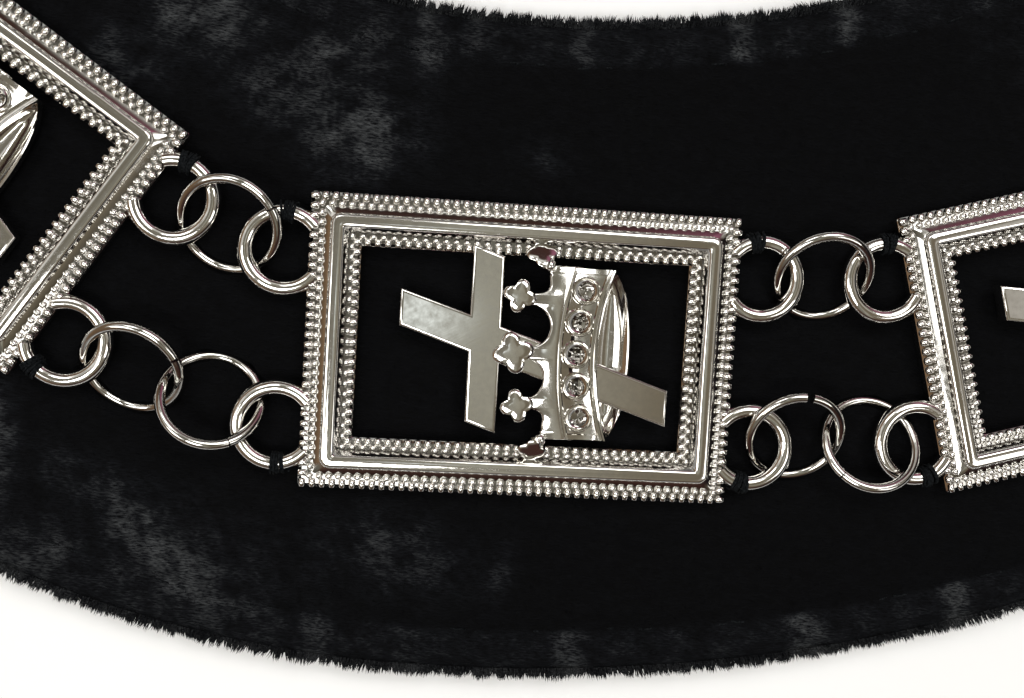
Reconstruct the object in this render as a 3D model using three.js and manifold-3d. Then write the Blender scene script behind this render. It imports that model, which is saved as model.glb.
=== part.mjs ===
// Chain collar: an oval band of padded velvet that lies round the neck and carries a row of
// cast plaques. Each plaque is joined to the next by one jump ring on the neck side and by
// two jump rings on the outer side. Millimetres, +Z up, the band lying flat on Z = 0 with its
// front towards -Y. Places along the band are counted clockwise, seen from above.

import * as THREE from 'three';
import { mergeVertices } from 'three/addons/utils/BufferGeometryUtils.js';
import Module from 'manifold-3d';

const wasm = await Module();
wasm.setup();

const DEG = Math.PI / 180;

// Clearance between neighbouring pieces
const GAP = 0.3;

// Band: the centreline is an oval of four arcs, tight at the front and back
const END_RADIUS = 124;
const SIDE_RADIUS = 226;
const SIDE_HALF_ANGLE = 33 * DEG;
const END_STEPS = 14;
const SIDE_STEPS = 9;
const BAND_WIDTH = 97.8;
const BAND_THICKNESS = 5;
const STITCH_INSET = 7;
const STITCH_DEPTH = 0.8;
const STITCH_HALF_WIDTH = 1.4;

// Rounded edge of the band: how far in from the edge, and how high as a share of thickness
const BAND_EDGE = [
  { inset: 1.7, height: 0 },
  { inset: 0, height: 0.34 },
  { inset: 0.5, height: 0.74 },
  { inset: 2.8, height: 1 },
];

// Plaques: a moulded rectangular frame, its size over all and its height at the bar
const PLAQUE_COUNT = 11;
const PLAQUE_LENGTH = 63.6;
const PLAQUE_WIDTH = 43;
const EDGE_HEIGHT = 2.85;

// Moulding of the frame from its outer edge to the window: rows of beads on a low step, a
// cove, the raised bar, a slope and the inner rows of beads
const MOULDING = [
  { inset: 0, height: EDGE_HEIGHT },
  { inset: 2.2, height: EDGE_HEIGHT },
  { inset: 3, height: 3.4 },
  { inset: 3.4, height: 4 },
  { inset: 4.4, height: 4 },
  { inset: 4.8, height: 3.4 },
  { inset: 5.6, height: EDGE_HEIGHT },
  { inset: 7.6, height: EDGE_HEIGHT },
];

// Places of the plaques that lie off the plain row: along the band, away from the neck, and
// turned, in mm and degrees. Place 0 is the middle of the front.
const PLAIN_LAY = { along: 0, outward: -4, swing: 0 };
const LAY = [
  { place: -4.5, along: 1.8, outward: -4, swing: 0.5 },
  { place: -3.5, along: 5.4, outward: -2, swing: 1 },
  { place: -2.5, along: 0.9, outward: 8.1, swing: -8 },
  { place: -1.5, along: 0, outward: -0.4, swing: -0.3 },
  { place: -0.5, along: 1.6, outward: 0.8, swing: 6 },
  { place: 0.5, along: -2.1, outward: -4, swing: 0 },
  { place: 5.5, along: 0.5, outward: -4, swing: 0 },
];

// Eyelets: round loops cast on the short sides of a plaque, two on each
const EYELET_RADIUS = 5.55;
const EYELET_WIRE = 0.95;
const EYELET_OUT = 3.5;
const EYELET_ASIDE = 12.7;
const EYELET_HEIGHT = 1.9;

// Jump rings
const RING_RADIUS = 7.1;
const RING_WIRE = 0.75;
const LOOP_SIDES = 10;
const WIRE_SIDES = 5;
const HOLLOW_SIDES = 6;
const PAIR_PITCH = 12;

// Height by which a tilted ring passes over one side of an eyelet and under the other
const CROSSING_RISE = 2.6;

// Rings that lie to one side of the line between their eyelets, in mm towards the neck
const RING_LAY = [
  { gap: -2.5, inner: 0.4, first: 0, second: 1.4 },
];

// Cross: a Latin cross seen at a slant, its shaft falling to the right
const CROSS_SLOPE = -0.324;
const CROSS_CENTRE = { x: -5.75, y: 1.5 };
const SHAFT = { left: -18.3, right: 21.8, half: 2.75 };
const BAR = { top: 14.4, bottom: -11.5, half: 2.35 };
const CROSS_BOTTOM = 1.1;
const CROSS_TOP = 3.6;

// Crown lying on its side, its points to the left: the jewelled band bows to the left
const CROWN_BOTTOM = 1.3;
const CROWN_TOP = 3.4;
const CROWN_HALF = 12.6;
const CROWN_BAND = { left: 5, right: 12, bow: 1.9, rim: 1.4, top: 4.3, bulge: 1 };
const CROWN_STEPS = 5;
const RIM_RISE = 0.4;

// Shares of the bow that the two sides of the rim follow
const RIM_BOW = { inner: 0.6, outer: 0.4 };
const VALLEY_X = 3.6;
const SETTING = { radius: 1.9, proud: 0.5, depth: 1.6, sides: 8, half: 9.35, x: 7.8, bow: 0.75 };
const SETTING_COUNT = 5;

// Lune: its reach past the band, its height, its share of the bow, and how much of the crown's
// width its tips and its foot take
const LUNE = { reach: 3.8, top: 2.9, bow: 0.3, tips: 0.97, foot: 0.9 };

// Finials: their middles and sizes, and where their necks meet the crown
const FINIALS = [
  { x: 2, y: 14.6, size: 2.2, neckX: 3.4, neckY: 12.6 },
  { x: -0.9, y: 8.3, size: 2.1, neckX: 0.9, neckY: 7.7 },
  { x: -1.5, y: -0.3, size: 2.9, neckX: 0.8, neckY: 0 },
  { x: -1, y: -7.9, size: 2.1, neckX: 0.9, neckY: -7.4 },
  { x: 2, y: -14.3, size: 2.2, neckX: 3.4, neckY: -12.4 },
];
const FINIAL_WAIST = 0.55;
const NECK_HALF = 0.75;

const velvet = new THREE.MeshStandardMaterial({
  name: 'velvet',
  color: new THREE.Color(0.012, 0.012, 0.015),
  roughness: 0.95,
  metalness: 0,
});
const nickel = new THREE.MeshStandardMaterial({
  name: 'nickel',
  color: new THREE.Color(0.8, 0.78, 0.72),
  roughness: 0.14,
  metalness: 1,
});

// Solid from a three.js geometry, its shared vertices merged by place alone
function toSolid(geometry) {
  const bare = geometry.clone();
  for (const name of Object.keys(bare.attributes)) {
    if (name !== 'position') bare.deleteAttribute(name);
  }
  const merged = mergeVertices(bare, 1e-4);
  const mesh = new wasm.Mesh({
    numProp: 3,
    vertProperties: new Float32Array(merged.attributes.position.array),
    triVerts: new Uint32Array(merged.index.array),
  });
  return new wasm.Manifold(mesh);
}

// Geometry from a solid
function toGeometry(solid) {
  const mesh = solid.getMesh();
  const geometry = new THREE.BufferGeometry();
  geometry.setAttribute('position', new THREE.BufferAttribute(mesh.vertProperties, 3));
  geometry.setIndex(new THREE.BufferAttribute(mesh.triVerts, 1));
  geometry.computeVertexNormals();
  return geometry;
}

function joined(solids) {
  return solids.reduce((whole, solid) => whole.add(solid));
}

// Plate with a flat outline, from one height to another
function plate(points, low, high) {
  const shape = new THREE.Shape(points.map((p) => new THREE.Vector2(p.x, p.y)));
  const geometry = new THREE.ExtrudeGeometry(shape, { depth: high - low, bevelEnabled: false });
  geometry.translate(0, 0, low);
  return toSolid(geometry);
}

// Skin over equal rows of points: each row closes on itself, and the rows either close into a
// loop or end in two flat caps. Rows run so that their points turn clockwise seen from ahead.
function skin(rows, closed) {
  const count = rows[0].length;
  const positions = rows.flat().flatMap((p) => [p.x, p.y, p.z]);
  const index = [];
  const last = closed ? rows.length : rows.length - 1;
  for (let i = 0; i < last; i += 1) {
    const next = (i + 1) % rows.length;
    for (let j = 0; j < count; j += 1) {
      const side = (j + 1) % count;
      const a = i * count + j;
      const b = i * count + side;
      const c = next * count + side;
      const d = next * count + j;
      index.push(a, b, c, a, c, d);
    }
  }
  if (!closed) {
    const end = (rows.length - 1) * count;
    for (let j = 1; j < count - 1; j += 1) {
      index.push(0, j + 1, j, end, end + j, end + j + 1);
    }
  }
  const geometry = new THREE.BufferGeometry();
  geometry.setAttribute('position', new THREE.Float32BufferAttribute(positions, 3));
  geometry.setIndex(index);
  return geometry;
}

// The four arcs of the centreline, clockwise from the middle of the front
const SIDE_SHIFT = (SIDE_RADIUS - END_RADIUS) * Math.cos(SIDE_HALF_ANGLE);
const END_SHIFT = (SIDE_RADIUS - END_RADIUS) * Math.sin(SIDE_HALF_ANGLE);
const END_HALF_ANGLE = 90 * DEG - SIDE_HALF_ANGLE;
const END_ARC = { radius: END_RADIUS, half: END_HALF_ANGLE, steps: END_STEPS };
const SIDE_ARC = { radius: SIDE_RADIUS, half: SIDE_HALF_ANGLE, steps: SIDE_STEPS };
const ARCS = [
  { ...END_ARC, heading: -90 * DEG, x: 0, y: -END_SHIFT },
  { ...SIDE_ARC, heading: -180 * DEG, x: SIDE_SHIFT, y: 0 },
  { ...END_ARC, heading: -270 * DEG, x: 0, y: END_SHIFT },
  { ...SIDE_ARC, heading: -360 * DEG, x: -SIDE_SHIFT, y: 0 },
];
const LOOP_LENGTH = 4 * (END_RADIUS * END_HALF_ANGLE + SIDE_RADIUS * SIDE_HALF_ANGLE);
const PITCH = LOOP_LENGTH / PLAQUE_COUNT;

// Point of an arc, with the direction away from the neck, at an angle past its middle
function arcPoint(arc, angle) {
  const outward = new THREE.Vector3(Math.cos(arc.heading - angle), Math.sin(arc.heading - angle), 0);
  const point = outward.clone().multiplyScalar(arc.radius).add(new THREE.Vector3(arc.x, arc.y, 0));
  return { point, outward };
}

// Point of the centreline at a distance from the middle of the front
function centreline(distance) {
  let rest = distance + END_RADIUS * END_HALF_ANGLE;
  rest = ((rest % LOOP_LENGTH) + LOOP_LENGTH) % LOOP_LENGTH;
  for (const arc of ARCS) {
    const length = 2 * arc.half * arc.radius;
    if (rest <= length) return arcPoint(arc, rest / arc.radius - arc.half);
    rest -= length;
  }
  return arcPoint(ARCS[0], -END_HALF_ANGLE);
}

// Section of the band across its width: distance away from the neck, and height
function bandSection() {
  const half = BAND_WIDTH / 2;
  const edge = BAND_EDGE.map((p) => ({ v: half - p.inset, z: p.height * BAND_THICKNESS }));
  const stitch = half - STITCH_INSET;
  const groove = [
    { v: stitch + STITCH_HALF_WIDTH, z: BAND_THICKNESS },
    { v: stitch, z: BAND_THICKNESS - STITCH_DEPTH },
    { v: stitch - STITCH_HALF_WIDTH, z: BAND_THICKNESS },
  ];
  const outer = edge.concat(groove);
  const inner = outer.map((p) => ({ v: -p.v, z: p.z })).reverse();
  return outer.concat(inner);
}

function bandBlank() {
  const section = bandSection();
  const rows = [];
  for (const arc of ARCS) {
    for (let i = 0; i < arc.steps; i += 1) {
      const { point, outward } = arcPoint(arc, (2 * i / arc.steps - 1) * arc.half);
      rows.push(section.map((p) => point.clone().addScaledVector(outward, p.v).setZ(p.z)));
    }
  }
  return toSolid(skin(rows, true));
}

// Frame of a plaque: the moulding carried round a rectangle with mitred corners
function frame() {
  const section = MOULDING.concat([
    { inset: MOULDING[MOULDING.length - 1].inset, height: 0 },
    { inset: 0, height: 0 },
  ]);
  const corners = [[1, 1], [1, -1], [-1, -1], [-1, 1]];
  const rows = corners.map(([sx, sy]) => section.map((p) => new THREE.Vector3(
    sx * (PLAQUE_LENGTH / 2 - p.inset),
    sy * (PLAQUE_WIDTH / 2 - p.inset),
    p.height,
  )));
  return toSolid(skin(rows, true));
}

// Outline of the cross: the ends of the shaft are cut upright, those of the bar along the slant
function cross() {
  const slant = (x) => CROSS_SLOPE * (x - CROSS_CENTRE.x);
  const on = (x, y) => ({ x, y: y + slant(x) });
  const left = CROSS_CENTRE.x - BAR.half;
  const right = CROSS_CENTRE.x + BAR.half;
  const high = CROSS_CENTRE.y + SHAFT.half;
  const low = CROSS_CENTRE.y - SHAFT.half;
  const outline = [
    on(SHAFT.left, high), on(SHAFT.left, low), on(left, low), on(left, BAR.bottom),
    on(right, BAR.bottom), on(right, low), on(SHAFT.right, low), on(SHAFT.right, high),
    on(right, high), on(right, BAR.top), on(left, BAR.top), on(left, high),
  ];
  return plate(outline, CROSS_BOTTOM, CROSS_TOP);
}

// How far the bowed lines of the crown lie to the right at a height across it
function bowAt(y, bow) {
  return bow * (y / CROWN_HALF) ** 2;
}

// Body of the crown: five points, each a neck with a three-lobed finial, and valleys between
function crownBody() {
  const outline = [];
  FINIALS.forEach((finial, i) => {
    if (i > 0) {
      const y = (finial.neckY + FINIALS[i - 1].neckY) / 2;
      outline.push({ x: VALLEY_X + bowAt(y, CROWN_BAND.bow) / 2, y });
    }
    outline.push({ x: finial.neckX, y: finial.neckY + NECK_HALF });
    for (let step = 0; step < 5; step += 1) {
      const angle = (90 + 45 * step) * DEG;
      const reach = finial.size * (step % 2 === 0 ? 1 : FINIAL_WAIST);
      outline.push({ x: finial.x + reach * Math.cos(angle), y: finial.y + reach * Math.sin(angle) });
    }
    outline.push({ x: finial.neckX, y: finial.neckY - NECK_HALF });
  });
  const inner = CROWN_BAND.left + CROWN_BAND.bow + CROWN_BAND.rim;
  outline.push({ x: inner, y: -CROWN_HALF + NECK_HALF });
  outline.push({ x: inner, y: CROWN_HALF - NECK_HALF });
  return plate(outline, CROWN_BOTTOM, CROWN_TOP);
}

// Jewelled band of the crown: highest in its middle, with a raised rim at the open side
function jewelledBand() {
  const { left, right, bow, rim, top, bulge } = CROWN_BAND;
  const rows = [];
  for (let i = 0; i <= CROWN_STEPS; i += 1) {
    const y = CROWN_HALF * (2 * i / CROWN_STEPS - 1);
    const shift = bowAt(y, bow);
    const high = top - bowAt(y, bulge);
    rows.push([
      { x: left + shift, z: CROWN_BOTTOM },
      { x: left + shift, z: high },
      { x: right - rim + shift * RIM_BOW.inner, z: high },
      { x: right + shift * RIM_BOW.outer, z: high + RIM_RISE },
      { x: right + shift * RIM_BOW.outer, z: CROWN_BOTTOM },
    ].map((p) => new THREE.Vector3(p.x, y, p.z)));
  }
  return toSolid(skin(rows, false));
}

// Settings: round cups along the middle of the jewelled band
function settings() {
  const cups = [];
  for (let i = 0; i < SETTING_COUNT; i += 1) {
    const y = SETTING.half * (1 - 2 * i / (SETTING_COUNT - 1));
    const high = CROWN_BAND.top + SETTING.proud - bowAt(y, CROWN_BAND.bulge);
    const cup = new THREE.CylinderGeometry(SETTING.radius, SETTING.radius, SETTING.depth, SETTING.sides);
    cup.rotateX(90 * DEG);
    cup.translate(SETTING.x + bowAt(y, SETTING.bow), y, high - SETTING.depth / 2);
    cups.push(toSolid(cup));
  }
  return joined(cups);
}

// Lune: the far wall of the crown, seen through its open side
function lune() {
  const outline = [];
  for (let i = 0; i <= CROWN_STEPS; i += 1) {
    const y = CROWN_HALF * (1 - 2 * i / CROWN_STEPS);
    const reach = LUNE.reach * Math.sqrt(Math.max(0, 1 - (y / CROWN_HALF) ** 2));
    outline.push({ x: CROWN_BAND.right + bowAt(y, CROWN_BAND.bow) * LUNE.bow + reach, y: y * LUNE.tips });
  }
  const inside = CROWN_BAND.right - CROWN_BAND.rim;
  outline.push({ x: inside, y: -CROWN_HALF * LUNE.foot }, { x: inside, y: CROWN_HALF * LUNE.foot });
  return plate(outline, CROWN_BOTTOM, LUNE.top);
}

// Round loop of wire lying flat at the origin
function wireLoop(radius, wire) {
  return new THREE.TorusGeometry(radius, wire, WIRE_SIDES, LOOP_SIDES);
}

// Middle of an eyelet on a plaque, by the signs of its side and of the edge it is nearest
function eyeletPlace(side, edge) {
  return new THREE.Vector3(side * (PLAQUE_LENGTH / 2 + EYELET_OUT), edge * EYELET_ASIDE, EYELET_HEIGHT);
}

function eyelets() {
  const loops = [];
  for (const side of [-1, 1]) {
    for (const edge of [-1, 1]) {
      const place = eyeletPlace(side, edge);
      const loop = wireLoop(EYELET_RADIUS, EYELET_WIRE);
      loop.translate(place.x, place.y, place.z);
      loops.push(toSolid(loop));
    }
  }
  return joined(loops);
}

// The whole plaque is one casting
function plaqueGeometry() {
  const emblem = [cross(), crownBody(), jewelledBand(), settings(), lune()];
  return toGeometry(joined([frame(), eyelets(), ...emblem]));
}

// Where each plaque lies: its own +X runs counter-clockwise round the band, +Y to the neck
function plaqueFrames() {
  const frames = [];
  for (let i = 0; i < PLAQUE_COUNT; i += 1) {
    const place = i - (PLAQUE_COUNT - 2) / 2;
    const lay = LAY.find((row) => row.place === place) || PLAIN_LAY;
    const { point, outward } = centreline(place * PITCH + lay.along);
    point.addScaledVector(outward, lay.outward).setZ(BAND_THICKNESS + GAP);
    const turn = Math.atan2(outward.y, outward.x) + 90 * DEG + lay.swing * DEG;
    const matrix = new THREE.Matrix4().makeRotationZ(turn).setPosition(point);
    frames.push({ place, point, turn, matrix });
  }
  return frames;
}

// Tilt that lets a ring pass through an eyelet whose middle lies at a distance from its own:
// the two loops cross, in plan, at equal distances to both sides of the line between them
function tiltFor(distance) {
  const along = (distance ** 2 + EYELET_RADIUS ** 2 - RING_RADIUS ** 2) / (2 * distance);
  const crossing = Math.sqrt(EYELET_RADIUS ** 2 - along ** 2);
  return Math.atan(CROSSING_RISE / crossing);
}

// Point beside the line between two eyelets, a distance off it towards the neck
function besideLine(from, to, share, aside) {
  const toNeck = new THREE.Vector3(to.y - from.y, from.x - to.x, 0).normalize();
  return from.clone().lerp(to, share).addScaledVector(toNeck, aside);
}

// A ring leans about the line that joins the two loops it passes through, with its neck side
// up (+1) or down (-1)
function ringPlace(point, before, after, up) {
  const line = after.clone().sub(before);
  const reach = Math.min(point.distanceTo(before), point.distanceTo(after));
  return { point, turn: Math.atan2(line.y, line.x), tilt: -up * tiltFor(reach) };
}

function ringMatrix(place) {
  const spin = new THREE.Matrix4().makeRotationZ(place.turn);
  const lean = new THREE.Matrix4().makeRotationX(place.tilt);
  return spin.multiply(lean).setPosition(place.point);
}

// The rings of one gap, from a plaque to the next one clockwise
function gapRings(here, next) {
  const lay = RING_LAY.find((row) => row.gap === here.place) || { inner: 0, first: 0, second: 0 };
  const near = (edge) => eyeletPlace(-1, edge).applyMatrix4(here.matrix);
  const far = (edge) => eyeletPlace(1, edge).applyMatrix4(next.matrix);
  const span = near(-1).distanceTo(far(-1));
  const pairLength = Math.sqrt(PAIR_PITCH ** 2 - (lay.second - lay.first) ** 2);
  const share = 0.5 - pairLength / 2 / span;
  const inner = besideLine(near(1), far(1), 0.5, lay.inner);
  const first = besideLine(near(-1), far(-1), share, lay.first);
  const second = besideLine(near(-1), far(-1), 1 - share, lay.second);
  return {
    inner: ringPlace(inner, near(1), far(1), 1),
    first: ringPlace(first, near(-1), second, -1),
    second: ringPlace(second, first, far(-1), 1),
  };
}

// Hollow that a tilted ring presses into the pile, as a short drum round the ring
function hollow(place) {
  const radius = (RING_RADIUS + RING_WIRE + GAP) / Math.cos(Math.PI / HOLLOW_SIDES);
  const depth = RING_WIRE + GAP;
  const height = 2 * radius;
  const drum = new THREE.CylinderGeometry(radius, radius, height, HOLLOW_SIDES);
  drum.rotateX(90 * DEG);
  drum.translate(0, 0, height / 2 - depth);
  drum.applyMatrix4(ringMatrix(place));
  return toSolid(drum);
}

function addPiece(group, name, geometry, material) {
  const mesh = new THREE.Mesh(geometry, material);
  mesh.name = name;
  group.add(mesh);
  return mesh;
}

function padded(number) {
  return String(number).padStart(2, '0');
}

function build() {
  const collar = new THREE.Group();
  const frames = plaqueFrames();
  const plaque = plaqueGeometry();
  frames.forEach(({ point, turn }, i) => {
    const piece = addPiece(collar, `plaque_${padded(i + 1)}`, plaque, nickel);
    piece.position.copy(point);
    piece.rotation.z = turn;
  });
  const ring = wireLoop(RING_RADIUS, RING_WIRE);
  const hollows = [];
  const addRing = (name, place) => {
    addPiece(collar, name, ring, nickel).applyMatrix4(ringMatrix(place));
    hollows.push(hollow(place));
  };
  frames.forEach((here, i) => {
    const rings = gapRings(here, frames[(i + 1) % PLAQUE_COUNT]);
    addRing(`inner_ring_${padded(i + 1)}`, rings.inner);
    addRing(`outer_ring_${padded(i + 1)}a`, rings.first);
    addRing(`outer_ring_${padded(i + 1)}b`, rings.second);
  });
  const band = bandBlank().subtract(joined(hollows));
  addPiece(collar, 'velvet_band', toGeometry(band), velvet);
  return collar;
}

export default build();
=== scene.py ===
"""Looks of a chain collar: a padded velvet band, cast nickel plaques, jump rings and sewing threads.

Sizes are in millimetres unless a comment says otherwise, and meshes are scaled to metres as they are
made. An angle is in degrees where a method passes it to radians, and in radians elsewhere. The
collar lies flat on Z = 0 with its front towards -Y.
"""

import logging
import math
from dataclasses import dataclass, field
from enum import Enum

import bpy
import numpy as np
from mathutils import Matrix, Vector


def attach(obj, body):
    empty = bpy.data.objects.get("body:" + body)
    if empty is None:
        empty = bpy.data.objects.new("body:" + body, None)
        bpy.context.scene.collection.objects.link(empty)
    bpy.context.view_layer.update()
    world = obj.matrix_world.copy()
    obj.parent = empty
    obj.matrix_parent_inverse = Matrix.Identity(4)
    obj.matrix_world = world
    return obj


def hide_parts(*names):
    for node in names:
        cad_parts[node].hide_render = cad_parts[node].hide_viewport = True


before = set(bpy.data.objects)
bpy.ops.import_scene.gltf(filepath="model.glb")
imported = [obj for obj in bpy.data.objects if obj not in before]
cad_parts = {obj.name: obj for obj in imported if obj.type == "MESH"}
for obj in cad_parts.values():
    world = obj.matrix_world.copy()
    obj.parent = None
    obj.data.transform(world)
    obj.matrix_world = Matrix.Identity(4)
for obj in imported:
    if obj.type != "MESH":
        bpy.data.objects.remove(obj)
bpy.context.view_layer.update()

MM = 0.001
BODY = "root"
LOG = logging.getLogger("collar")
Socket = bpy.types.NodeSocket

# Inset and depth below the top, as shares of the bevel, of the rows of a plate's rounded edge.
ROUNDED_EDGE = ((0.0, 0.8), (0.2, 0.4), (0.55, 0.1), (1.0, 0.0), (1.3, 0.0))

# Part of a path's tangent along +Z from which a tube's frame starts from +X.
STEEP = 0.95


class Slot(Enum):
    """Finishes that the collar's pieces take, by the names of the record's slots."""

    VELVET = "velvet"
    NICKEL = "nickel"
    THREAD = "thread"


class Edge(Enum):
    """The two long edges of the band, as signs of a plaque's own +Y."""

    NECK = 1
    OUTER = -1


def turned(angles: np.ndarray) -> np.ndarray:
    """Matrices of turns about +Z.

    Args:
        angles: angles in radians, one for each matrix.

    Returns:
        An array of 3 x 3 matrices.
    """
    angles = np.atleast_1d(np.asarray(angles, float))
    c, s, zero, one = np.cos(angles), np.sin(angles), np.zeros(len(angles)), np.ones(len(angles))
    return np.stack([c, -s, zero, s, c, zero, zero, zero, one], -1).reshape(-1, 3, 3)


def tilted(angle: float) -> np.ndarray:
    """Matrix of a turn about +X.

    Args:
        angle: the angle in radians.

    Returns:
        A 3 x 3 matrix.
    """
    c, s = math.cos(angle), math.sin(angle)
    return np.array([[1, 0, 0], [0, c, -s], [0, s, c]], float)


def grid_faces(rows: int, columns: int, wrap_rows: bool, wrap_columns: bool) -> np.ndarray:
    """Quads of a grid whose vertex in row i and column j has the index i * columns + j.

    Args:
        rows: number of rows.
        columns: number of columns.
        wrap_rows: whether the last row joins the first.
        wrap_columns: whether the last column joins the first.

    Returns:
        An array with four vertex indices a row.
    """
    i, j = np.meshgrid(
        np.arange(rows if wrap_rows else rows - 1),
        np.arange(columns if wrap_columns else columns - 1),
        indexing="ij",
    )
    below, beside = (i + 1) % rows, (j + 1) % columns
    corners = [i * columns + j, i * columns + beside, below * columns + beside, below * columns + j]
    return np.stack(corners, -1).reshape(-1, 4)


@dataclass
class Shell:
    """A surface: its vertices, and arrays of faces with equal numbers of corners.

    The smooth flags mark the vertices of small round forms, whose edges never show as creases.
    """

    points: np.ndarray
    faces: list[np.ndarray]
    smooth: np.ndarray | None = None

    def flags(self) -> np.ndarray:
        """The smooth flag of each vertex."""
        return np.zeros(len(self.points), bool) if self.smooth is None else self.smooth

    def rounded(self) -> "Shell":
        """The same shell with every vertex marked as smooth."""
        return Shell(self.points, self.faces, np.ones(len(self.points), bool))

    def outward(self) -> "Shell":
        """The same closed shell with its faces turned so that its volume is positive.

        Six times the volume is the sum, over the triangles of each face, of one corner times the
        cross product of the other two.

        Returns:
            The shell, its faces pointing out.
        """
        volume = 0.0
        for block in self.faces:
            first = self.points[block[:, 0]]
            for k in range(1, block.shape[1] - 1):
                cross = np.cross(self.points[block[:, k]], self.points[block[:, k + 1]])
                volume += float(np.einsum("ij,ij->", first, cross))
        faces = self.faces if volume > 0 else [block[:, ::-1] for block in self.faces]
        return Shell(self.points, faces, self.smooth)

    def placed(self, turns: np.ndarray, places: np.ndarray) -> "Shell":
        """Copies of the shell, one for each matrix and place.

        Args:
            turns: 3 x 3 matrices, k of them, or one for all.
            places: k places.

        Returns:
            One shell with the k copies.
        """
        places = np.atleast_2d(places)
        turns = np.broadcast_to(turns, (len(places), 3, 3))
        points = np.einsum("kij,nj->kni", turns, self.points) + places[:, None, :]
        offsets = np.arange(len(places)) * len(self.points)
        offsets = offsets[:, None, None]
        faces = [(block[None] + offsets).reshape(-1, block.shape[1]) for block in self.faces]
        return Shell(points.reshape(-1, 3), faces, np.tile(self.flags(), len(places)))

    @staticmethod
    def joined(shells: list["Shell"]) -> "Shell":
        """One shell from several.

        Args:
            shells: the shells, whose vertices and faces keep their order.

        Returns:
            The joined shell.
        """
        offsets = np.cumsum([0] + [len(shell.points) for shell in shells])
        faces = [block + offset for shell, offset in zip(shells, offsets) for block in shell.faces]
        flags = np.concatenate([shell.flags() for shell in shells])
        return Shell(np.concatenate([shell.points for shell in shells]), faces, flags)

    @staticmethod
    def grid(points: np.ndarray, wrap_rows: bool = False, caps: bool = True) -> "Shell":
        """Closed tube over a grid of points whose columns wrap round.

        Args:
            points: rows x columns x 3 coordinates.
            wrap_rows: whether the rows close into a ring.
            caps: whether open ends are closed by flat faces.

        Returns:
            The shell, its faces pointing out.
        """
        rows, columns = points.shape[:2]
        faces = [grid_faces(rows, columns, wrap_rows, True)]
        if caps and not wrap_rows:
            faces.append(np.arange(columns)[None, ::-1])
            faces.append((rows - 1) * columns + np.arange(columns)[None])
        return Shell(points.reshape(-1, 3), faces).outward()

    def to_object(self, name: str, crease: float = 180.0) -> bpy.types.Object:
        """A Blender object in metres, smooth except at creases.

        Args:
            name: name of the object and its mesh.
            crease: angle between faces from which their edge is sharp, in degrees.

        Returns:
            The object, linked to the scene.
        """
        mesh = bpy.data.meshes.new(name)
        loops = np.concatenate([block.ravel() for block in self.faces]).astype(np.int32)
        sizes = np.concatenate([np.full(len(block), block.shape[1]) for block in self.faces])
        mesh.vertices.add(len(self.points))
        mesh.vertices.foreach_set("co", (self.points * MM).astype(np.float32).ravel())
        mesh.loops.add(len(loops))
        mesh.loops.foreach_set("vertex_index", loops)
        mesh.polygons.add(len(sizes))
        mesh.polygons.foreach_set("loop_start", (np.cumsum(sizes) - sizes).astype(np.int32))
        mesh.update(calc_edges=True)
        mesh.validate()
        mesh.polygons.foreach_set("use_smooth", np.ones(len(mesh.polygons), bool))
        if crease < 180:
            self._crease(mesh, crease)
        piece = bpy.data.objects.new(name, mesh)
        bpy.context.scene.collection.objects.link(piece)
        return piece

    def _crease(self, mesh: bpy.types.Mesh, angle: float) -> None:
        """Marks sharp edges, except between smooth vertices.

        Args:
            mesh: the mesh made from this shell.
            angle: angle between faces from which their edge is sharp, in degrees.
        """
        mesh.set_sharp_from_angle(angle=math.radians(angle))
        ends = np.zeros(len(mesh.edges) * 2, np.int32)
        mesh.edges.foreach_get("vertices", ends)
        sharp = np.zeros(len(mesh.edges), bool)
        mesh.edges.foreach_get("use_edge_sharp", sharp)
        flags = self.flags()
        mesh.edges.foreach_set("use_edge_sharp", sharp & ~flags[ends.reshape(-1, 2)].all(1))


def tube(path: np.ndarray, radius: float, sides: int, closed: bool) -> Shell:
    """Round tube along a path.

    Each point of the skin is the path's point plus the radius along a direction that turns about
    the path's tangent; the frame starts from +Z, or from +X where the path climbs.

    Args:
        path: n x 3 points.
        radius: radius of the tube.
        sides: number of sides.
        closed: whether the path closes on itself.

    Returns:
        The tube, with flat ends if it is open.
    """
    if closed:
        tangent = np.roll(path, -1, 0) - np.roll(path, 1, 0)
    else:
        tangent = np.gradient(path, axis=0)
    tangent /= np.linalg.norm(tangent, axis=1, keepdims=True)
    hint = np.where(np.abs(tangent[:, 2:]) > STEEP, [[1.0, 0, 0]], [[0, 0, 1.0]])
    side = np.cross(hint, tangent)
    side /= np.linalg.norm(side, axis=1, keepdims=True)
    top = np.cross(tangent, side)
    turn = np.linspace(0, 2 * math.pi, sides, endpoint=False)
    reach = side[:, None] * np.cos(turn)[None, :, None] + top[:, None] * np.sin(turn)[None, :, None]
    return Shell.grid(path[:, None] + radius * reach, wrap_rows=closed)


def mitre_plate(outline: np.ndarray, low: float, high: float, bevel: float) -> Shell:
    """Flat plate with a rounded upper edge.

    Rows of the outline are lifted step by step and moved inwards along each corner's mitre, which
    is the sum of its two edge normals over one plus their product. A last row on the flat top keeps
    the top's shading even.

    Args:
        outline: n x 2 points, counter-clockwise.
        low: height of the underside.
        high: height of the top.
        bevel: width of the rounding.

    Returns:
        The closed plate.
    """
    along = np.roll(outline, -1, 0) - outline
    along /= np.linalg.norm(along, axis=1, keepdims=True)
    normal = np.stack([-along[:, 1], along[:, 0]], -1)
    before = np.roll(normal, 1, 0)
    mitre = (normal + before) / (1 + np.sum(normal * before, 1, keepdims=True))
    rows = [(0, low), *((share * bevel, high - depth * bevel) for share, depth in ROUNDED_EDGE)]
    points = [np.column_stack([outline + inset * mitre, np.full(len(outline), z)]) for inset, z in rows]
    return Shell.grid(np.stack(points))


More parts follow.
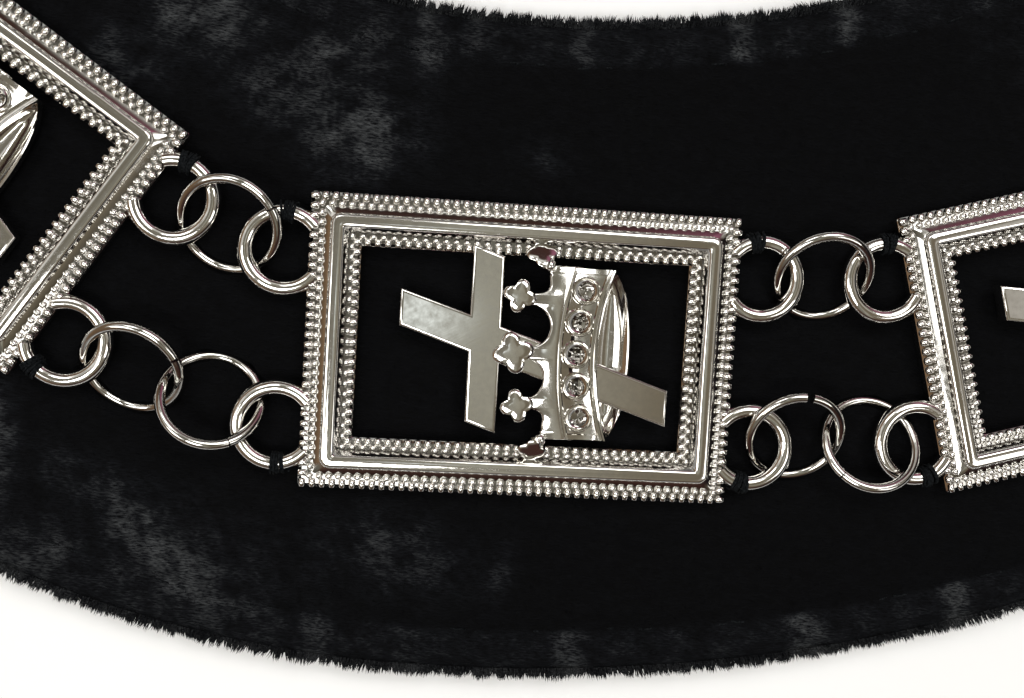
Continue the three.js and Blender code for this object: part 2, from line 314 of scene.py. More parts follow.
def lathe(profile: np.ndarray, sides: int) -> Shell:
    """Body turned about +Z from a profile of radius and height, closed by flat ends.

    Args:
        profile: n x 2 rows of radius and height, from the foot to the top.
        sides: number of sides.

    Returns:
        The closed body.
    """
    turn = np.linspace(0, 2 * math.pi, sides, endpoint=False)
    ring = np.stack([np.cos(turn), np.sin(turn)], -1)
    flat = profile[:, :1, None] * ring[None]
    height = np.broadcast_to(profile[:, 1:, None], (len(profile), sides, 1))
    return Shell.grid(np.concatenate([flat, height], -1))


@dataclass(frozen=True)
class Arc:
    """One arc of the band's centreline: where its middle looks, its centre and its size."""

    heading: float
    x: float
    y: float
    radius: float
    half: float


@dataclass
class Oval:
    """Centreline of the band: four arcs, tight at the front and back, clockwise from the front."""

    end_radius: float = 124.0
    side_radius: float = 226.0
    side_half_angle: float = math.radians(33)
    plaque_count: int = 11

    @property
    def end_half_angle(self) -> float:
        """Half the angle of the front and back arcs."""
        return math.pi / 2 - self.side_half_angle

    @property
    def length(self) -> float:
        """Length of the whole centreline."""
        return 4 * (self.end_radius * self.end_half_angle + self.side_radius * self.side_half_angle)

    @property
    def pitch(self) -> float:
        """Distance along the centreline from one plaque to the next."""
        return self.length / self.plaque_count

    def arcs(self) -> list[Arc]:
        """The four arcs, clockwise from the front.

        Returns:
            The arcs; their centres lie where neighbours meet without a corner.
        """
        spare = self.side_radius - self.end_radius
        side, end = spare * math.cos(self.side_half_angle), spare * math.sin(self.side_half_angle)
        return [
            Arc(-math.pi / 2, 0, -end, self.end_radius, self.end_half_angle),
            Arc(-math.pi, side, 0, self.side_radius, self.side_half_angle),
            Arc(-math.pi * 3 / 2, 0, end, self.end_radius, self.end_half_angle),
            Arc(-math.pi * 2, -side, 0, self.side_radius, self.side_half_angle),
        ]

    def at(self, distance: np.ndarray) -> tuple[np.ndarray, np.ndarray]:
        """Points of the centreline, and the directions away from the neck.

        A distance falls in one arc; its point is the arc's centre plus the radius along the
        heading less the angle that the rest of the distance spans.

        Args:
            distance: distances from the middle of the front, clockwise.

        Returns:
            Two arrays of n x 2 coordinates.
        """
        arcs = self.arcs()
        rest = np.mod(np.atleast_1d(distance) + self.end_radius * self.end_half_angle, self.length)
        spans = np.array([2 * arc.half * arc.radius for arc in arcs])
        starts = np.cumsum(spans) - spans
        which = np.clip(np.searchsorted(starts, rest, side="right") - 1, 0, len(arcs) - 1)
        table = np.array([[arc.heading, arc.x, arc.y, arc.radius, arc.half] for arc in arcs])[which]
        heading, x, y, radius, half = table.T
        turn = heading - ((rest - starts[which]) / radius - half)
        outward = np.stack([np.cos(turn), np.sin(turn)], -1)
        return np.stack([x, y], -1) + radius[:, None] * outward, outward

    def locate(self, x: np.ndarray, y: np.ndarray) -> tuple[np.ndarray, np.ndarray]:
        """Distances along and from the centreline of points in plan.

        A point belongs to the arc in whose sector it lies. Its distance along is the arc's start
        plus the radius times the angle from the sector's start; its distance from the centreline
        is its distance from the arc's centre less the radius.

        Args:
            x: coordinates in the collar's frame.
            y: coordinates in the collar's frame.

        Returns:
            Distances along the centreline, and away from the neck.
        """
        along, away = np.zeros_like(x), np.zeros_like(x)
        start = -self.end_radius * self.end_half_angle
        for arc in self.arcs():
            turn = np.arctan2(y - arc.y, x - arc.x) - arc.heading
            turn = np.mod(turn + math.pi, 2 * math.pi) - math.pi
            inside = np.abs(turn) <= arc.half
            along = np.where(inside, start + (arc.half - turn) * arc.radius, along)
            away = np.where(inside, np.hypot(x - arc.x, y - arc.y) - arc.radius, away)
            start += 2 * arc.half * arc.radius
        return along, away


@dataclass(frozen=True)
class Lay:
    """How a plaque lies off the plain row: along the band, away from the neck, and turned."""

    along: float
    outward: float
    swing: float


@dataclass(frozen=True)
class Place:
    """Where a flat piece lies: its middle, its turn about +Z and its lean about its own +X."""

    point: np.ndarray
    turn: float
    tilt: float = 0.0

    def matrix(self) -> np.ndarray:
        """The piece's rotation."""
        return turned(self.turn)[0] @ tilted(self.tilt)

    def world(self, local: np.ndarray) -> np.ndarray:
        """Points given in the piece's own frame, in the collar's frame."""
        return np.atleast_2d(local) @ self.matrix().T + self.point


@dataclass
class Layout:
    """Where every plaque and ring of the collar lies, as in the model's solids.

    The lays are those of the plaques by their steps from the front; one gap's rings lie aside.
    """

    oval: Oval = field(default_factory=Oval)
    front_plaque: int = 3
    plaque_length: float = 63.6
    plaque_height: float = 5.3
    plain: Lay = Lay(0, -4, 0)
    lays: dict[float, Lay] = field(default_factory=lambda: {
        -4.5: Lay(1.8, -4, 0.5),
        -3.5: Lay(5.4, -2, 1),
        -2.5: Lay(0.9, 8.1, -8),
        -1.5: Lay(0, -0.4, -0.3),
        -0.5: Lay(1.6, 0.8, 6),
        0.5: Lay(-2.1, -4, 0),
        5.5: Lay(0.5, -4, 0),
    })
    front_gap: float = -2.5
    front_inner: float = 0.4
    front_second: float = 1.4
    eyelet_out: float = 3.5
    eyelet_aside: float = 12.7
    eyelet_height: float = 1.9
    eyelet_radius: float = 5.55
    ring_radius: float = 7.1
    pair_pitch: float = 12.0
    crossing_rise: float = 2.6

    def step(self, i: int) -> float:
        """Place of a plaque in the row, in pitches from the middle of the front."""
        return i - (self.oval.plaque_count - 2) / 2

    def plaques(self) -> list[Place]:
        """Where each plaque lies: its +X counter-clockwise round the band, its +Y to the neck.

        Returns:
            The places, clockwise.
        """
        places = []
        for i in range(self.oval.plaque_count):
            lay = self.lays.get(self.step(i), self.plain)
            points, outwards = self.oval.at(np.array([self.step(i) * self.oval.pitch + lay.along]))
            point, outward = points[0] + outwards[0] * lay.outward, outwards[0]
            turn = math.atan2(outward[1], outward[0]) + math.radians(90 + lay.swing)
            places.append(Place(np.array([*point, self.plaque_height]), turn))
        return places

    @property
    def home(self) -> Place:
        """The place of the plaque in the middle of the picture, called the front plaque."""
        return self.plaques()[self.front_plaque]

    def eyelet(self, side: int, edge: Edge) -> np.ndarray:
        """Middle of an eyelet in its plaque's frame."""
        out = self.plaque_length / 2 + self.eyelet_out
        return np.array([side * out, edge.value * self.eyelet_aside, self.eyelet_height])

    def tilt_for(self, distance: float) -> float:
        """Lean that takes a ring over one side of an eyelet and under the other.

        The two loops cross, in plan, at equal distances to both sides of the line between their
        middles; the lean's tangent is the rise at a crossing over that distance.

        Args:
            distance: distance between the middles of the two loops.

        Returns:
            The lean in radians.
        """
        along = (distance ** 2 + self.eyelet_radius ** 2 - self.ring_radius ** 2) / (2 * distance)
        return math.atan(self.crossing_rise / math.sqrt(self.eyelet_radius ** 2 - along ** 2))

    def ring(self, point: np.ndarray, before: np.ndarray, after: np.ndarray, up: int) -> Place:
        """Place of a ring that passes through two loops.

        Args:
            point: middle of the ring.
            before: middle of the loop that it starts from.
            after: middle of the loop that it leads to.
            up: +1 if its neck side lies up, -1 if down.

        Returns:
            The place.
        """
        reach = min(np.linalg.norm(point - before), np.linalg.norm(point - after))
        turn = math.atan2(after[1] - before[1], after[0] - before[0])
        return Place(point, turn, -up * self.tilt_for(reach))

    def eyelet_pair(self, here: Place, there: Place, edge: Edge) -> tuple[np.ndarray, ...]:
        """The two eyelets that face each other at one edge of the band.

        Args:
            here: place of a plaque.
            there: place of the next plaque clockwise.
            edge: the edge.

        Returns:
            The middles of the two eyelets, and the direction from their line to the neck.
        """
        near, far = here.world(self.eyelet(-1, edge))[0], there.world(self.eyelet(1, edge))[0]
        aside = np.array([far[1] - near[1], near[0] - far[0], 0.0])
        return near, far, aside / np.linalg.norm(aside)

    def gap_rings(self, i: int) -> dict[str, Place]:
        """The three rings between a plaque and the next one clockwise, by node name.

        Args:
            i: number of the plaque, from 0.

        Returns:
            Places of the inner ring and of the outer pair.
        """
        places = self.plaques()
        here, there = places[i], places[(i + 1) % len(places)]
        front = self.step(i) == self.front_gap
        inner_lay, second_lay = (self.front_inner, self.front_second) if front else (0.0, 0.0)
        near, far, aside = self.eyelet_pair(here, there, Edge.NECK)
        inner = self.ring((near + far) / 2 + aside * inner_lay, near, far, 1)
        near, far, aside = self.eyelet_pair(here, there, Edge.OUTER)
        share = 0.5 - math.sqrt(self.pair_pitch ** 2 - second_lay ** 2) / 2 / np.linalg.norm(far - near)
        first = near + (far - near) * share
        second = near + (far - near) * (1 - share) + aside * second_lay
        return {
            f"inner_ring_{i + 1:02d}": inner,
            f"outer_ring_{i + 1:02d}a": self.ring(first, near, second, -1),
            f"outer_ring_{i + 1:02d}b": self.ring(second, first, far, 1),
        }

    def rings(self) -> dict[str, Place]:
        """Every ring of the collar, by node name.

        Returns:
            The places, clockwise.
        """
        every: dict[str, Place] = {}
        for i in range(self.oval.plaque_count):
            every.update(self.gap_rings(i))
        return every


@dataclass(frozen=True)
class Grain:
    """A noise: its features a metre, octaves of detail, and factors on its axes, turned about +Z.

    Where it makes a relief, it has a strength from 0 to 1 and a depth in millimetres.
    """

    scale: float
    detail: float
    stretch: tuple = (1, 1, 1)
    turn: float = 0.0
    strength: float = 0.0
    depth: float = 0.0


class Nodes:
    """A short way to write a material's or a world's nodes."""

    def __init__(self, tree: bpy.types.NodeTree) -> None:
        """Empties the tree and keeps it."""
        self.tree = tree
        tree.nodes.clear()

    def add(self, kind: str, settings: dict | None = None, **inputs: object) -> bpy.types.Node:
        """Adds a node.

        Args:
            kind: Blender's name of the node's type.
            settings: values of the node's own properties.
            inputs: input sockets by name, with _ for a space; a socket is linked, a value is set.

        Returns:
            The node.
        """
        node = self.tree.nodes.new(kind)
        for key, value in (settings or {}).items():
            setattr(node, key, value)
        for key, value in inputs.items():
            self.put(node.inputs[key.replace("_", " ")], value)
        return node

    def put(self, socket: Socket, value: object) -> None:
        """Links a socket to another one, or sets its value.

        Args:
            socket: the input socket.
            value: an output socket, or a value.
        """
        if isinstance(value, Socket):
            self.tree.links.new(value, socket)
        else:
            socket.default_value = value

    def ramp(self, value: Socket, stops: tuple) -> Socket:
        """Colours along a value.

        Args:
            value: the socket that drives the ramp.
            stops: pairs of a position and an RGB colour, two or more.

        Returns:
            The colour socket.
        """
        node = self.add("ShaderNodeValToRGB", Fac=value)
        elements = node.color_ramp.elements
        while len(elements) < len(stops):
            elements.new(0.5)
        for element, (position, colour) in zip(elements, stops):
            element.position = position
            element.color = (*colour, 1)
        return node.outputs["Color"]

    def math(self, operation: str, first: object, second: object) -> Socket:
        """Result of a calculation on two values.

        Args:
            operation: Blender's name of the calculation.
            first: a value or socket.
            second: a value or socket.

        Returns:
            The result's socket, kept between 0 and 1.
        """
        node = self.add("ShaderNodeMath", {"operation": operation, "use_clamp": True})
        self.put(node.inputs[0], first)
        self.put(node.inputs[1], second)
        return node.outputs[0]

    def span(self, value: Socket, first: float, last: float) -> Socket:
        """A value's place between two limits, from 0 to 1."""
        node = self.add("ShaderNodeMapRange", Value=value, From_Min=first, From_Max=last)
        return node.outputs["Result"]

    def blend(self, factor: object, first: object, second: object) -> Socket:
        """A colour between two colours.

        Args:
            factor: 0 for the first colour, 1 for the second, or a socket.
            first: a colour or socket.
            second: a colour or socket.

        Returns:
            The colour socket.
        """
        node = self.add("ShaderNodeMix", {"data_type": "RGBA"})
        for index, value in ((0, factor), (6, first), (7, second)):
            self.put(node.inputs[index], value)
        return node.outputs[2]

    def turned(self, where: Socket, turn: float) -> Socket:
        """Coordinates, or a direction, along axes that are turned about +Z."""
        node = self.add("ShaderNodeVectorRotate", {"rotation_type": "Z_AXIS"}, Vector=where, Angle=-turn)
        return node.outputs["Vector"]

    def noise(self, grain: Grain) -> Socket:
        """Noise in the object's own coordinates.

        Args:
            grain: the noise.

        Returns:
            The value socket.
        """
        where = self.add("ShaderNodeTexCoord").outputs["Object"]
        if grain.turn:
            where = self.turned(where, grain.turn)
        where = self.add("ShaderNodeMapping", Vector=where, Scale=grain.stretch).outputs["Vector"]
        node = self.add("ShaderNodeTexNoise", Vector=where, Scale=grain.scale, Detail=grain.detail)
        return node.outputs["Fac"]

    def bump(self, height: Socket, grain: Grain, under: Socket | None = None) -> Socket:
        """Normal that follows a height.

        Args:
            height: the height, from 0 to 1.
            grain: the noise whose relief it is.
            under: normal of a coarser bump below this one.

        Returns:
            The normal socket.
        """
        node = self.add("ShaderNodeBump", Height=height, Strength=grain.strength, Distance=grain.depth * MM)
        if under is not None:
            self.put(node.inputs["Normal"], under)
        return node.outputs["Normal"]

    def surface(self, **inputs: object) -> None:
        """Ends the material in a principled shader with these inputs."""
        shader = self.add("ShaderNodeBsdfPrincipled", **inputs)
        self.add("ShaderNodeOutputMaterial", Surface=shader.outputs["BSDF"])


def new_material(name: str) -> tuple[bpy.types.Material, Nodes]:
    """An empty node material.

    Args:
        name: name of the material.

    Returns:
        The material and its nodes.
    """
    material = bpy.data.materials.new(name)
    material.use_nodes = True
    return material, Nodes(material.node_tree)


@dataclass(frozen=True)
class VelvetFinish:
    """Black velvet: nearly black where the pile stands, with a painted sheen of grey where it has been laid
    over.
    """

    name: str = "velvet"
    standing: tuple = (0.0023, 0.0023, 0.0025)
    # Painted sheen: paler greys where the pile lies over and catches the light.
    faint_sheen: tuple = (0.006, 0.0065, 0.0078)
    painted_sheen: tuple = (0.050, 0.0535, 0.056)
    stops: tuple = (0.0, 0.16, 0.85)
    tuft: Grain = Grain(620.0, 3, (0.6, 1, 1), math.radians(57), 0.7, 0.5)
    fibre: Grain = Grain(4600.0, 2, (0.25, 1, 1), math.radians(57), 0.8, 0.3)
    tuft_limits: tuple = (0.05, 0.75)
    fibre_limits: tuple = (0.25, 0.75)
    fleck_gain: float = 1.5
    roughness: float = 0.85
    sheen: float = 0.012
    sheen_roughness: float = 0.45
    sheen_tint: tuple = (0.55, 0.6, 0.7, 1)
    gloss: float = 0.02

    def material(self) -> bpy.types.Material:
        """The material; it reads how far the pile lies over, as painted sheen, from a vertex attribute.

        Returns:
            The material.
        """
        material, nodes = new_material(self.name)
        # Painted sheen: the base colour turns paler grey where the pile lies over.
        laid_sheen = nodes.add("ShaderNodeAttribute", {"attribute_name": "laid_sheen"}).outputs["Fac"]
        tuft, fibre = nodes.noise(self.tuft), nodes.noise(self.fibre)
        strand, clump = nodes.span(fibre, *self.fibre_limits), nodes.span(tuft, *self.tuft_limits)
        fleck = nodes.math("MULTIPLY", nodes.math("MULTIPLY", strand, clump), self.fleck_gain)
        broken = nodes.math("MULTIPLY", laid_sheen, fleck)
        colours = tuple(zip(self.stops, (self.standing, self.faint_sheen, self.painted_sheen)))
        nodes.surface(Base_Color=nodes.ramp(broken, colours), Roughness=self.roughness,
                      Sheen_Weight=self.sheen, Sheen_Roughness=self.sheen_roughness,
                      Sheen_Tint=self.sheen_tint, Specular_IOR_Level=self.gloss,
                      Normal=nodes.bump(fibre, self.fibre, nodes.bump(tuft, self.tuft)))
        return material


@dataclass(frozen=True)
class NickelFinish:
    """Bright nickel plate: a mirror with faint cast waves and hairlines, darkened by painted shade in its
    recesses.
    """

    name: str = "nickel"
    colour: tuple = (0.80, 0.785, 0.755)
    shade: tuple = (0.68, 0.665, 0.635)
    # Colour of the painted shade: recesses and the rings are darkened towards it.
    painted_shade_colour: tuple = (0.34, 0.33, 0.31, 1)
    polish: float = 0.05
    dull: float = 0.14
    fleck: Grain = Grain(900.0, 4)
    fleck_limits: tuple = (0.35, 0.75)
    wave: Grain = Grain(90.0, 0, strength=0.3, depth=0.22)
    hairline: Grain = Grain(2600.0, 2, (1, 0.15, 1), strength=0.1, depth=0.012)

    def material(self) -> bpy.types.Material:
        """The material; it reads painted shade, from 0 to 1, from a vertex attribute and darkens the colour
        by it.

        Returns:
            The material.
        """
        material, nodes = new_material(self.name)
        fleck = nodes.noise(self.fleck)
        first, last = self.fleck_limits
        colour = nodes.ramp(fleck, ((first, self.colour), (last, self.shade)))
        # Painted shade: the colour is darkened where the attribute marks shade.
        painted_shade = nodes.add("ShaderNodeAttribute", {"attribute_name": "painted_shade"}).outputs["Fac"]
        colour = nodes.blend(painted_shade, colour, self.painted_shade_colour)
        rough = nodes.add("ShaderNodeMapRange", Value=fleck, From_Min=first, From_Max=last,
                          To_Min=self.polish, To_Max=self.dull).outputs["Result"]
        wave = nodes.bump(nodes.noise(self.wave), self.wave)
        hairline = nodes.bump(nodes.noise(self.hairline), self.hairline, wave)
        nodes.surface(Base_Color=colour, Metallic=1.0, Roughness=rough, Normal=hairline)
        return material


@dataclass(frozen=True)
class ThreadFinish:
    """Black sewing thread, twisted and nearly dull."""

    name: str = "thread"
    dark: tuple = (0.0008, 0.0011, 0.0015)
    light: tuple = (0.016, 0.018, 0.02)
    twist: Grain = Grain(3800.0, 2, (1, 1, 0.3), strength=0.6, depth=0.08)
    limits: tuple = (0.3, 0.8)
    roughness: float = 0.85
    sheen: float = 0.01
    gloss: float = 0.02

    def material(self) -> bpy.types.Material:
        """The material.

        Returns:
            The material.
        """
        material, nodes = new_material(self.name)
        twist = nodes.noise(self.twist)
        colour = nodes.ramp(twist, tuple(zip(self.limits, (self.dark, self.light))))
        nodes.surface(Base_Color=colour, Roughness=self.roughness, Sheen_Weight=self.sheen,
                      Specular_IOR_Level=self.gloss, Normal=nodes.bump(twist, self.twist))
        return material


@dataclass(frozen=True)
class FloorFinish:
    """Plain white table."""

    name: str = "white_table"
    colour: tuple = (0.90, 0.905, 0.91)
    paler: float = 1.03
    tone: Grain = Grain(14.0, 2)
    limits: tuple = (0.3, 0.7)
    roughness: float = 0.6

    def material(self) -> bpy.types.Material:
        """The material.

        Returns:
            The material.
        """
        material, nodes = new_material(self.name)
        pale = tuple(min(1.0, self.paler * channel) for channel in self.colour)
        colour = nodes.ramp(nodes.noise(self.tone), tuple(zip(self.limits, (self.colour, pale))))
        nodes.surface(Base_Color=colour, Roughness=self.roughness)
        return material


@dataclass
class Dresser:
    """Gives pieces their finish, their body and the CAD nodes that they stand for."""

    finishes: dict[Slot, bpy.types.Material] = field(default_factory=lambda: {
        Slot.VELVET: VelvetFinish().material(),
        Slot.NICKEL: NickelFinish().material(),
        Slot.THREAD: ThreadFinish().material(),
    })

    def dress(self, piece: bpy.types.Object, slot: Slot, *nodes: str) -> bpy.types.Object:
        """Args:
            piece: the piece.
            slot: its finish.
            nodes: names of the CAD nodes that it replaces, if any.

        Returns:
            The piece.
        """
        piece.data.materials.append(self.finishes[slot])
        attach(piece, BODY)
        if nodes:
            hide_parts(*nodes)
        triangles = sum(len(face.vertices) - 2 for face in piece.data.polygons)
        LOG.info("%s: %d triangles", piece.name, triangles)
        return piece


def mark(piece: bpy.types.Object, name: str, values: np.ndarray) -> None:
    """Keeps a number on each vertex of a piece, for its finish to read.

    Args:
        piece: the piece.
        name: name of the attribute.
        values: a number for each vertex.
    """
    layer = piece.data.attributes.new(name, "FLOAT", "POINT")
    layer.data.foreach_set("value", values.astype(np.float32))


@dataclass(frozen=True)
class BeadRow:
    """A row of the beading: its inset, the inset that sets its count, and the sizes of its beads."""

    inset: float
    guide: float
    sizes: tuple
    barrels: bool


@dataclass(frozen=True)
class Finial:
    """A point of the crown: its middle, size, waist as a share of it, top and turn in degrees."""

    x: float
    y: float
    size: float
    waist: float
    top: float
    turn: float


@dataclass
class PlaqueCasting:
    """A cast plaque: moulded frame with rows of beads, a cross in a crown, and four eyelets.

    Profiles are rows of a distance and a height; shares are of the form that they belong to.
    """

    layout: Layout
    width: float = 43.0
    step_height: float = 2.4
    crest_height: float = 4.0
    foot_inset: float = 5.75
    window_inset: float = 7.55
    corner_steps: int = 4
    corner_lead: float = 0.5

    bead_pitch: float = 1.46
    bead_rows: tuple = (
        BeadRow(0.68, 0.68, (1.36, 1.27, 0.58), True),
        BeadRow(1.72, 0.68, (0.64, 0.52, 0.54), False),
        BeadRow(6.22, 7.0, (0.63, 0.52, 0.54), False),
        BeadRow(7.0, 7.0, (1.22, 1.27, 0.56), True),
    )
    barrel_shoulder: float = 0.78
    barrel_taper: float = 0.985
    barrel_wrap: float = 0.8
    bead_rises: tuple = (-15.0, 30.0, 68.0)
    eyelet_wire: float = 1.2
    eyelet_overlap: float = 0.75

    cross_slope: float = -0.324
    cross_centre: tuple = (-5.75, 1.5)
    shaft: tuple = (-18.3, 21.8, 2.75)
    bar: tuple = (14.4, -11.5, 2.35)
    cross_low: float = 1.1
    cross_top: float = 3.6
    cross_bevel: float = 0.42

    crown_low: float = 1.3
    crown_half: float = 12.6
    crown_top: float = 2.8
    crown_bulge: float = 1.25
    crown_inner: float = 6.4
    crown_end: float = 0.2
    crown_edge: tuple = ((0.0, 0.6), (0.1, 0.25), (0.3, 0.06), (0.5, 0.0))
    necks: tuple = ((-12.45, 3.4), (-7.5, 0.6), (-0.15, 0.2), (7.7, 0.6), (12.5, 3.4))
    valleys: tuple = (3.3, 3.0, 3.6, 3.3)
    neck_half: float = 0.8

    finials: tuple = (
        Finial(1.9, 14.6, 2.3, 0.74, 3.9, 8),
        Finial(-0.95, 8.1, 2.5, 0.68, 4.0, -14),
        Finial(-1.5, -0.2, 3.1, 0.64, 4.5, 14),
        Finial(-0.5, -8.0, 2.5, 0.68, 4.0, 14),
        Finial(2.1, -14.7, 2.15, 0.74, 3.9, -8),
    )
    finial_dome: float = 0.36
    finial_rings: tuple = ((1.0, 1.0), (0.93, 0.45), (0.78, 0.12), (0.45, 0.0))
    end_dome: float = 0.25
    end_thickness: float = 0.9
    end_lean: float = math.radians(31)
    ball_profile: tuple = ((0.75, -0.8), (1.05, 0.0), (0.8, 0.65), (0.35, 0.98))
    ball_x: float = 3.2
    ball_share: float = 0.875
    ball_height: float = 3.05

    band_left: float = 5.0
    band_right: float = 10.8
    band_top: float = 4.3
    band_bow: float = 1.9
    rim_bow: float = 2.3
    end_rim: float = 0.28
    end_rim_width: float = 0.8
    end_margins: tuple = (0.0, 0.12, 0.7, 0.85)

    settings_half: float = 9.35
    setting_x: float = 7.65
    setting_bow: float = 1.0
    setting_turn: float = 1.9
    setting_profile: tuple = (
        (2.12, -0.6), (2.12, 0.08), (2.0, 0.26), (1.86, 0.24), (1.76, 0.0), (1.66, 0.0), (1.6, 0.36),
        (1.46, 0.5), (1.3, 0.38), (1.18, -0.05), (0.9, -0.3), (0.55, -0.42), (0.2, -0.42),
    )
    dents: tuple = ((0.16, 3, 0.0), (0.12, 5, 1.0))
    lining_radius: float = 1.0

    lune_chord: float = 12.1
    lune_reach: float = 3.85
    lune_end: float = 0.12
    lune_lap: float = 0.3
    lune_least: float = 0.2
    lune_section: tuple = (
        (0.0, 0.0), (0.0, 0.9), (0.14, 0.4), (0.36, 0.15), (0.6, 0.4), (0.78, 0.95), (0.9, 1.62),
        (0.95, 1.74), (1.0, 1.62), (1.0, 0.0),
    )

    # Painted shade: how far the floor between the beads, the foot of the inner slope and the settings'
    # linings are darkened.
    floor_shade: float = 1.0
    foot_shade: float = 1.0
    lining_shade: float = 0.9
    hair: float = 0.06
    foot_half: float = 0.12
    foot_rise: float = 0.7
    lining_margin: float = 0.25

    def section(self) -> np.ndarray:
        """Section of the moulding, from the back of its outer wall to the back of its window.

        The shoulder between the outer step and the crest is a quarter of an ellipse.

        Returns:
            Rows of inset, height and radius of the corner.
        """
        step, top, window = self.step_height, self.crest_height, self.window_inset
        turn = np.linspace(0, math.pi / 2, 6)
        shoulder = np.stack([3.55 - 0.53 * np.cos(turn), 3.0 + 0.95 * np.sin(turn), 1.5 - 0.3 * turn], -1)
        outer_wall = [(0.3, 0.0, 0.3), (0.06, 0.35, 0.35), (0.06, step - 0.55, 0.35),
                      (0.2, step - 0.42, 0.3)]
        outer_step = [(0.62, step, 0.3), (2.05, step, 0.25), (2.15, step + 0.04, 0.4),
                      (3.0, step + 0.54, 1.3)]
        crest = [(3.7, top - 0.02, 1.0), (4.2, top, 0.6), (4.7, top - 0.02, 0.35), (4.84, top - 0.06, 0.3),
                 (4.96, top - 0.14, 0.25), (5.06, top - 0.26, 0.2)]
        inner_step = [(5.7, step + 0.55, 0.2), (5.8, step + 0.07, 0.2), (5.82, step, 0.2), (7.1, step, 0.2)]
        inner_wall = [(window - 0.1, step - 0.4, 0.15), (window, step - 0.5, 0.15), (window, 0.3, 0.15),
                      (window - 0.25, 0.0, 0.15)]
        return np.array([*outer_wall, *outer_step, *shoulder, *crest, *inner_step, *inner_wall])

    def moulding(self) -> Shell:
        """Moulded frame: its section carried round a rectangle whose corners are small arcs.

        A point lies at the corner's centre, the half sizes less inset and radius, plus the radius
        along the arc's angle. One row more before and after each corner lies along the edge.

        Returns:
            The closed frame.
        """
        inset, height, radius = self.section().T
        quarter = np.pad(np.linspace(0, math.pi / 2, self.corner_steps), 1, mode="edge")
        leads = np.zeros(len(quarter))
        leads[[0, -1]] = -self.corner_lead, self.corner_lead
        rows = []
        for number, (sx, sy) in enumerate(((1, 1), (-1, 1), (-1, -1), (1, -1))):
            for angle, lead in zip(quarter + number * math.pi / 2, leads):
                x = sx * (self.layout.plaque_length / 2 - inset - radius) + radius * math.cos(angle)
                y = sy * (self.width / 2 - inset - radius) + radius * math.sin(angle)
                rows.append(np.stack([x - lead * math.sin(angle), y + lead * math.cos(angle), height], -1))
        return Shell.grid(np.stack(rows), wrap_rows=True)

    def row_places(self, inset: float, guide: float) -> tuple[np.ndarray, np.ndarray]:
        """Evenly spaced places along a rectangle, with a place at each corner.

        Args:
            inset: distance of the row from the outer edge.
            guide: inset of the row that sets the count, so that neighbouring rows keep in step.

        Returns:
            The places, and the turn that takes +X along the edge at each.
        """
        a, b = self.layout.plaque_length / 2 - inset, self.width / 2 - inset
        corners = np.array([[a, -b], [a, b], [-a, b], [-a, -b]])
        places, turns = [], []
        for start, end in zip(corners, np.roll(corners, -1, 0)):
            side = float(np.linalg.norm(end - start)) + 2 * (inset - guide)
            count = round(side / self.bead_pitch)
            places.append(start + (end - start) * np.arange(count)[:, None] / count)
            turns.append(np.full(count, math.atan2(*(end - start)[::-1])))
        flat = np.concatenate(places)
        return np.column_stack([flat, np.full(len(flat), self.step_height)]), np.concatenate(turns)

    def barrel(self, length: float, width: float, height: float) -> Shell:
        """Upper three quarters of a barrel that lies across the edge.

        Its half width and height shrink towards the ends by the square root of one less the
        fifth power of the distance from the middle.

        Args:
            length: length across the edge.
            width: width along the edge.
            height: height above its middle.

        Returns:
            The barrel, with its middle in the origin.
        """
        along = np.array([-1.0, -self.barrel_shoulder, self.barrel_shoulder, 1.0])
        full = np.sqrt(1 - (self.barrel_taper * np.abs(along)) ** 5)[:, None]
        turn = np.linspace(-self.barrel_wrap, math.pi + self.barrel_wrap, 7)[None]
        x, z = width / 2 * full * np.cos(turn), height * full * np.sin(turn)
        y = np.broadcast_to(along[:, None] * length / 2, x.shape)
        return Shell.grid(np.stack([x, y, z], -1)).rounded()

    def bead(self, along: float, across: float, height: float) -> Shell:
        """Upper part of a small egg, a lathed round stretched to three half sizes.

        Args:
            along: half size along the edge.
            across: half size across it.
            height: height above its middle.

        Returns:
            The bead, with its middle in the origin.
        """
        rise = np.radians(self.bead_rises)
        egg = lathe(np.stack([np.cos(rise), np.sin(rise)], -1), 7)
        return Shell(egg.points * [along, across, height], egg.faces).rounded()

    def beading(self) -> list[Shell]:
        """The four rows of barrels and beads.

        Returns:
            A shell for each row.
        """
        shells = []
        for row in self.bead_rows:
            shell = self.barrel(*row.sizes) if row.barrels else self.bead(*row.sizes)
            places, turns = self.row_places(row.inset, row.guide)
            shells.append(shell.placed(turned(turns), places))
        return shells

    def cross(self) -> Shell:
        """Latin cross at a slant: the ends of the shaft are cut upright, those of the bar along it.

        Returns:
            The cross.
        """
        cx, cy = self.cross_centre
        first, last, half = self.shaft
        top, bottom, bar_half = self.bar
        left, right, high, low = cx - bar_half, cx + bar_half, cy + half, cy - half
        outline = np.array([
            (first, high), (first, low), (left, low), (left, bottom), (right, bottom), (right, low),
            (last, low), (last, high), (right, high), (right, top), (left, top), (left, high),
        ])
        outline[:, 1] += self.cross_slope * (outline[:, 0] - cx)
        return mitre_plate(outline, self.cross_low, self.cross_top, self.cross_bevel)

    def crown_height(self, y: np.ndarray) -> np.ndarray:
        """Height of the crown: highest in its middle, falling with the square of the distance."""
        return self.crown_top + self.crown_bulge * (1 - (y / self.crown_half) ** 2)

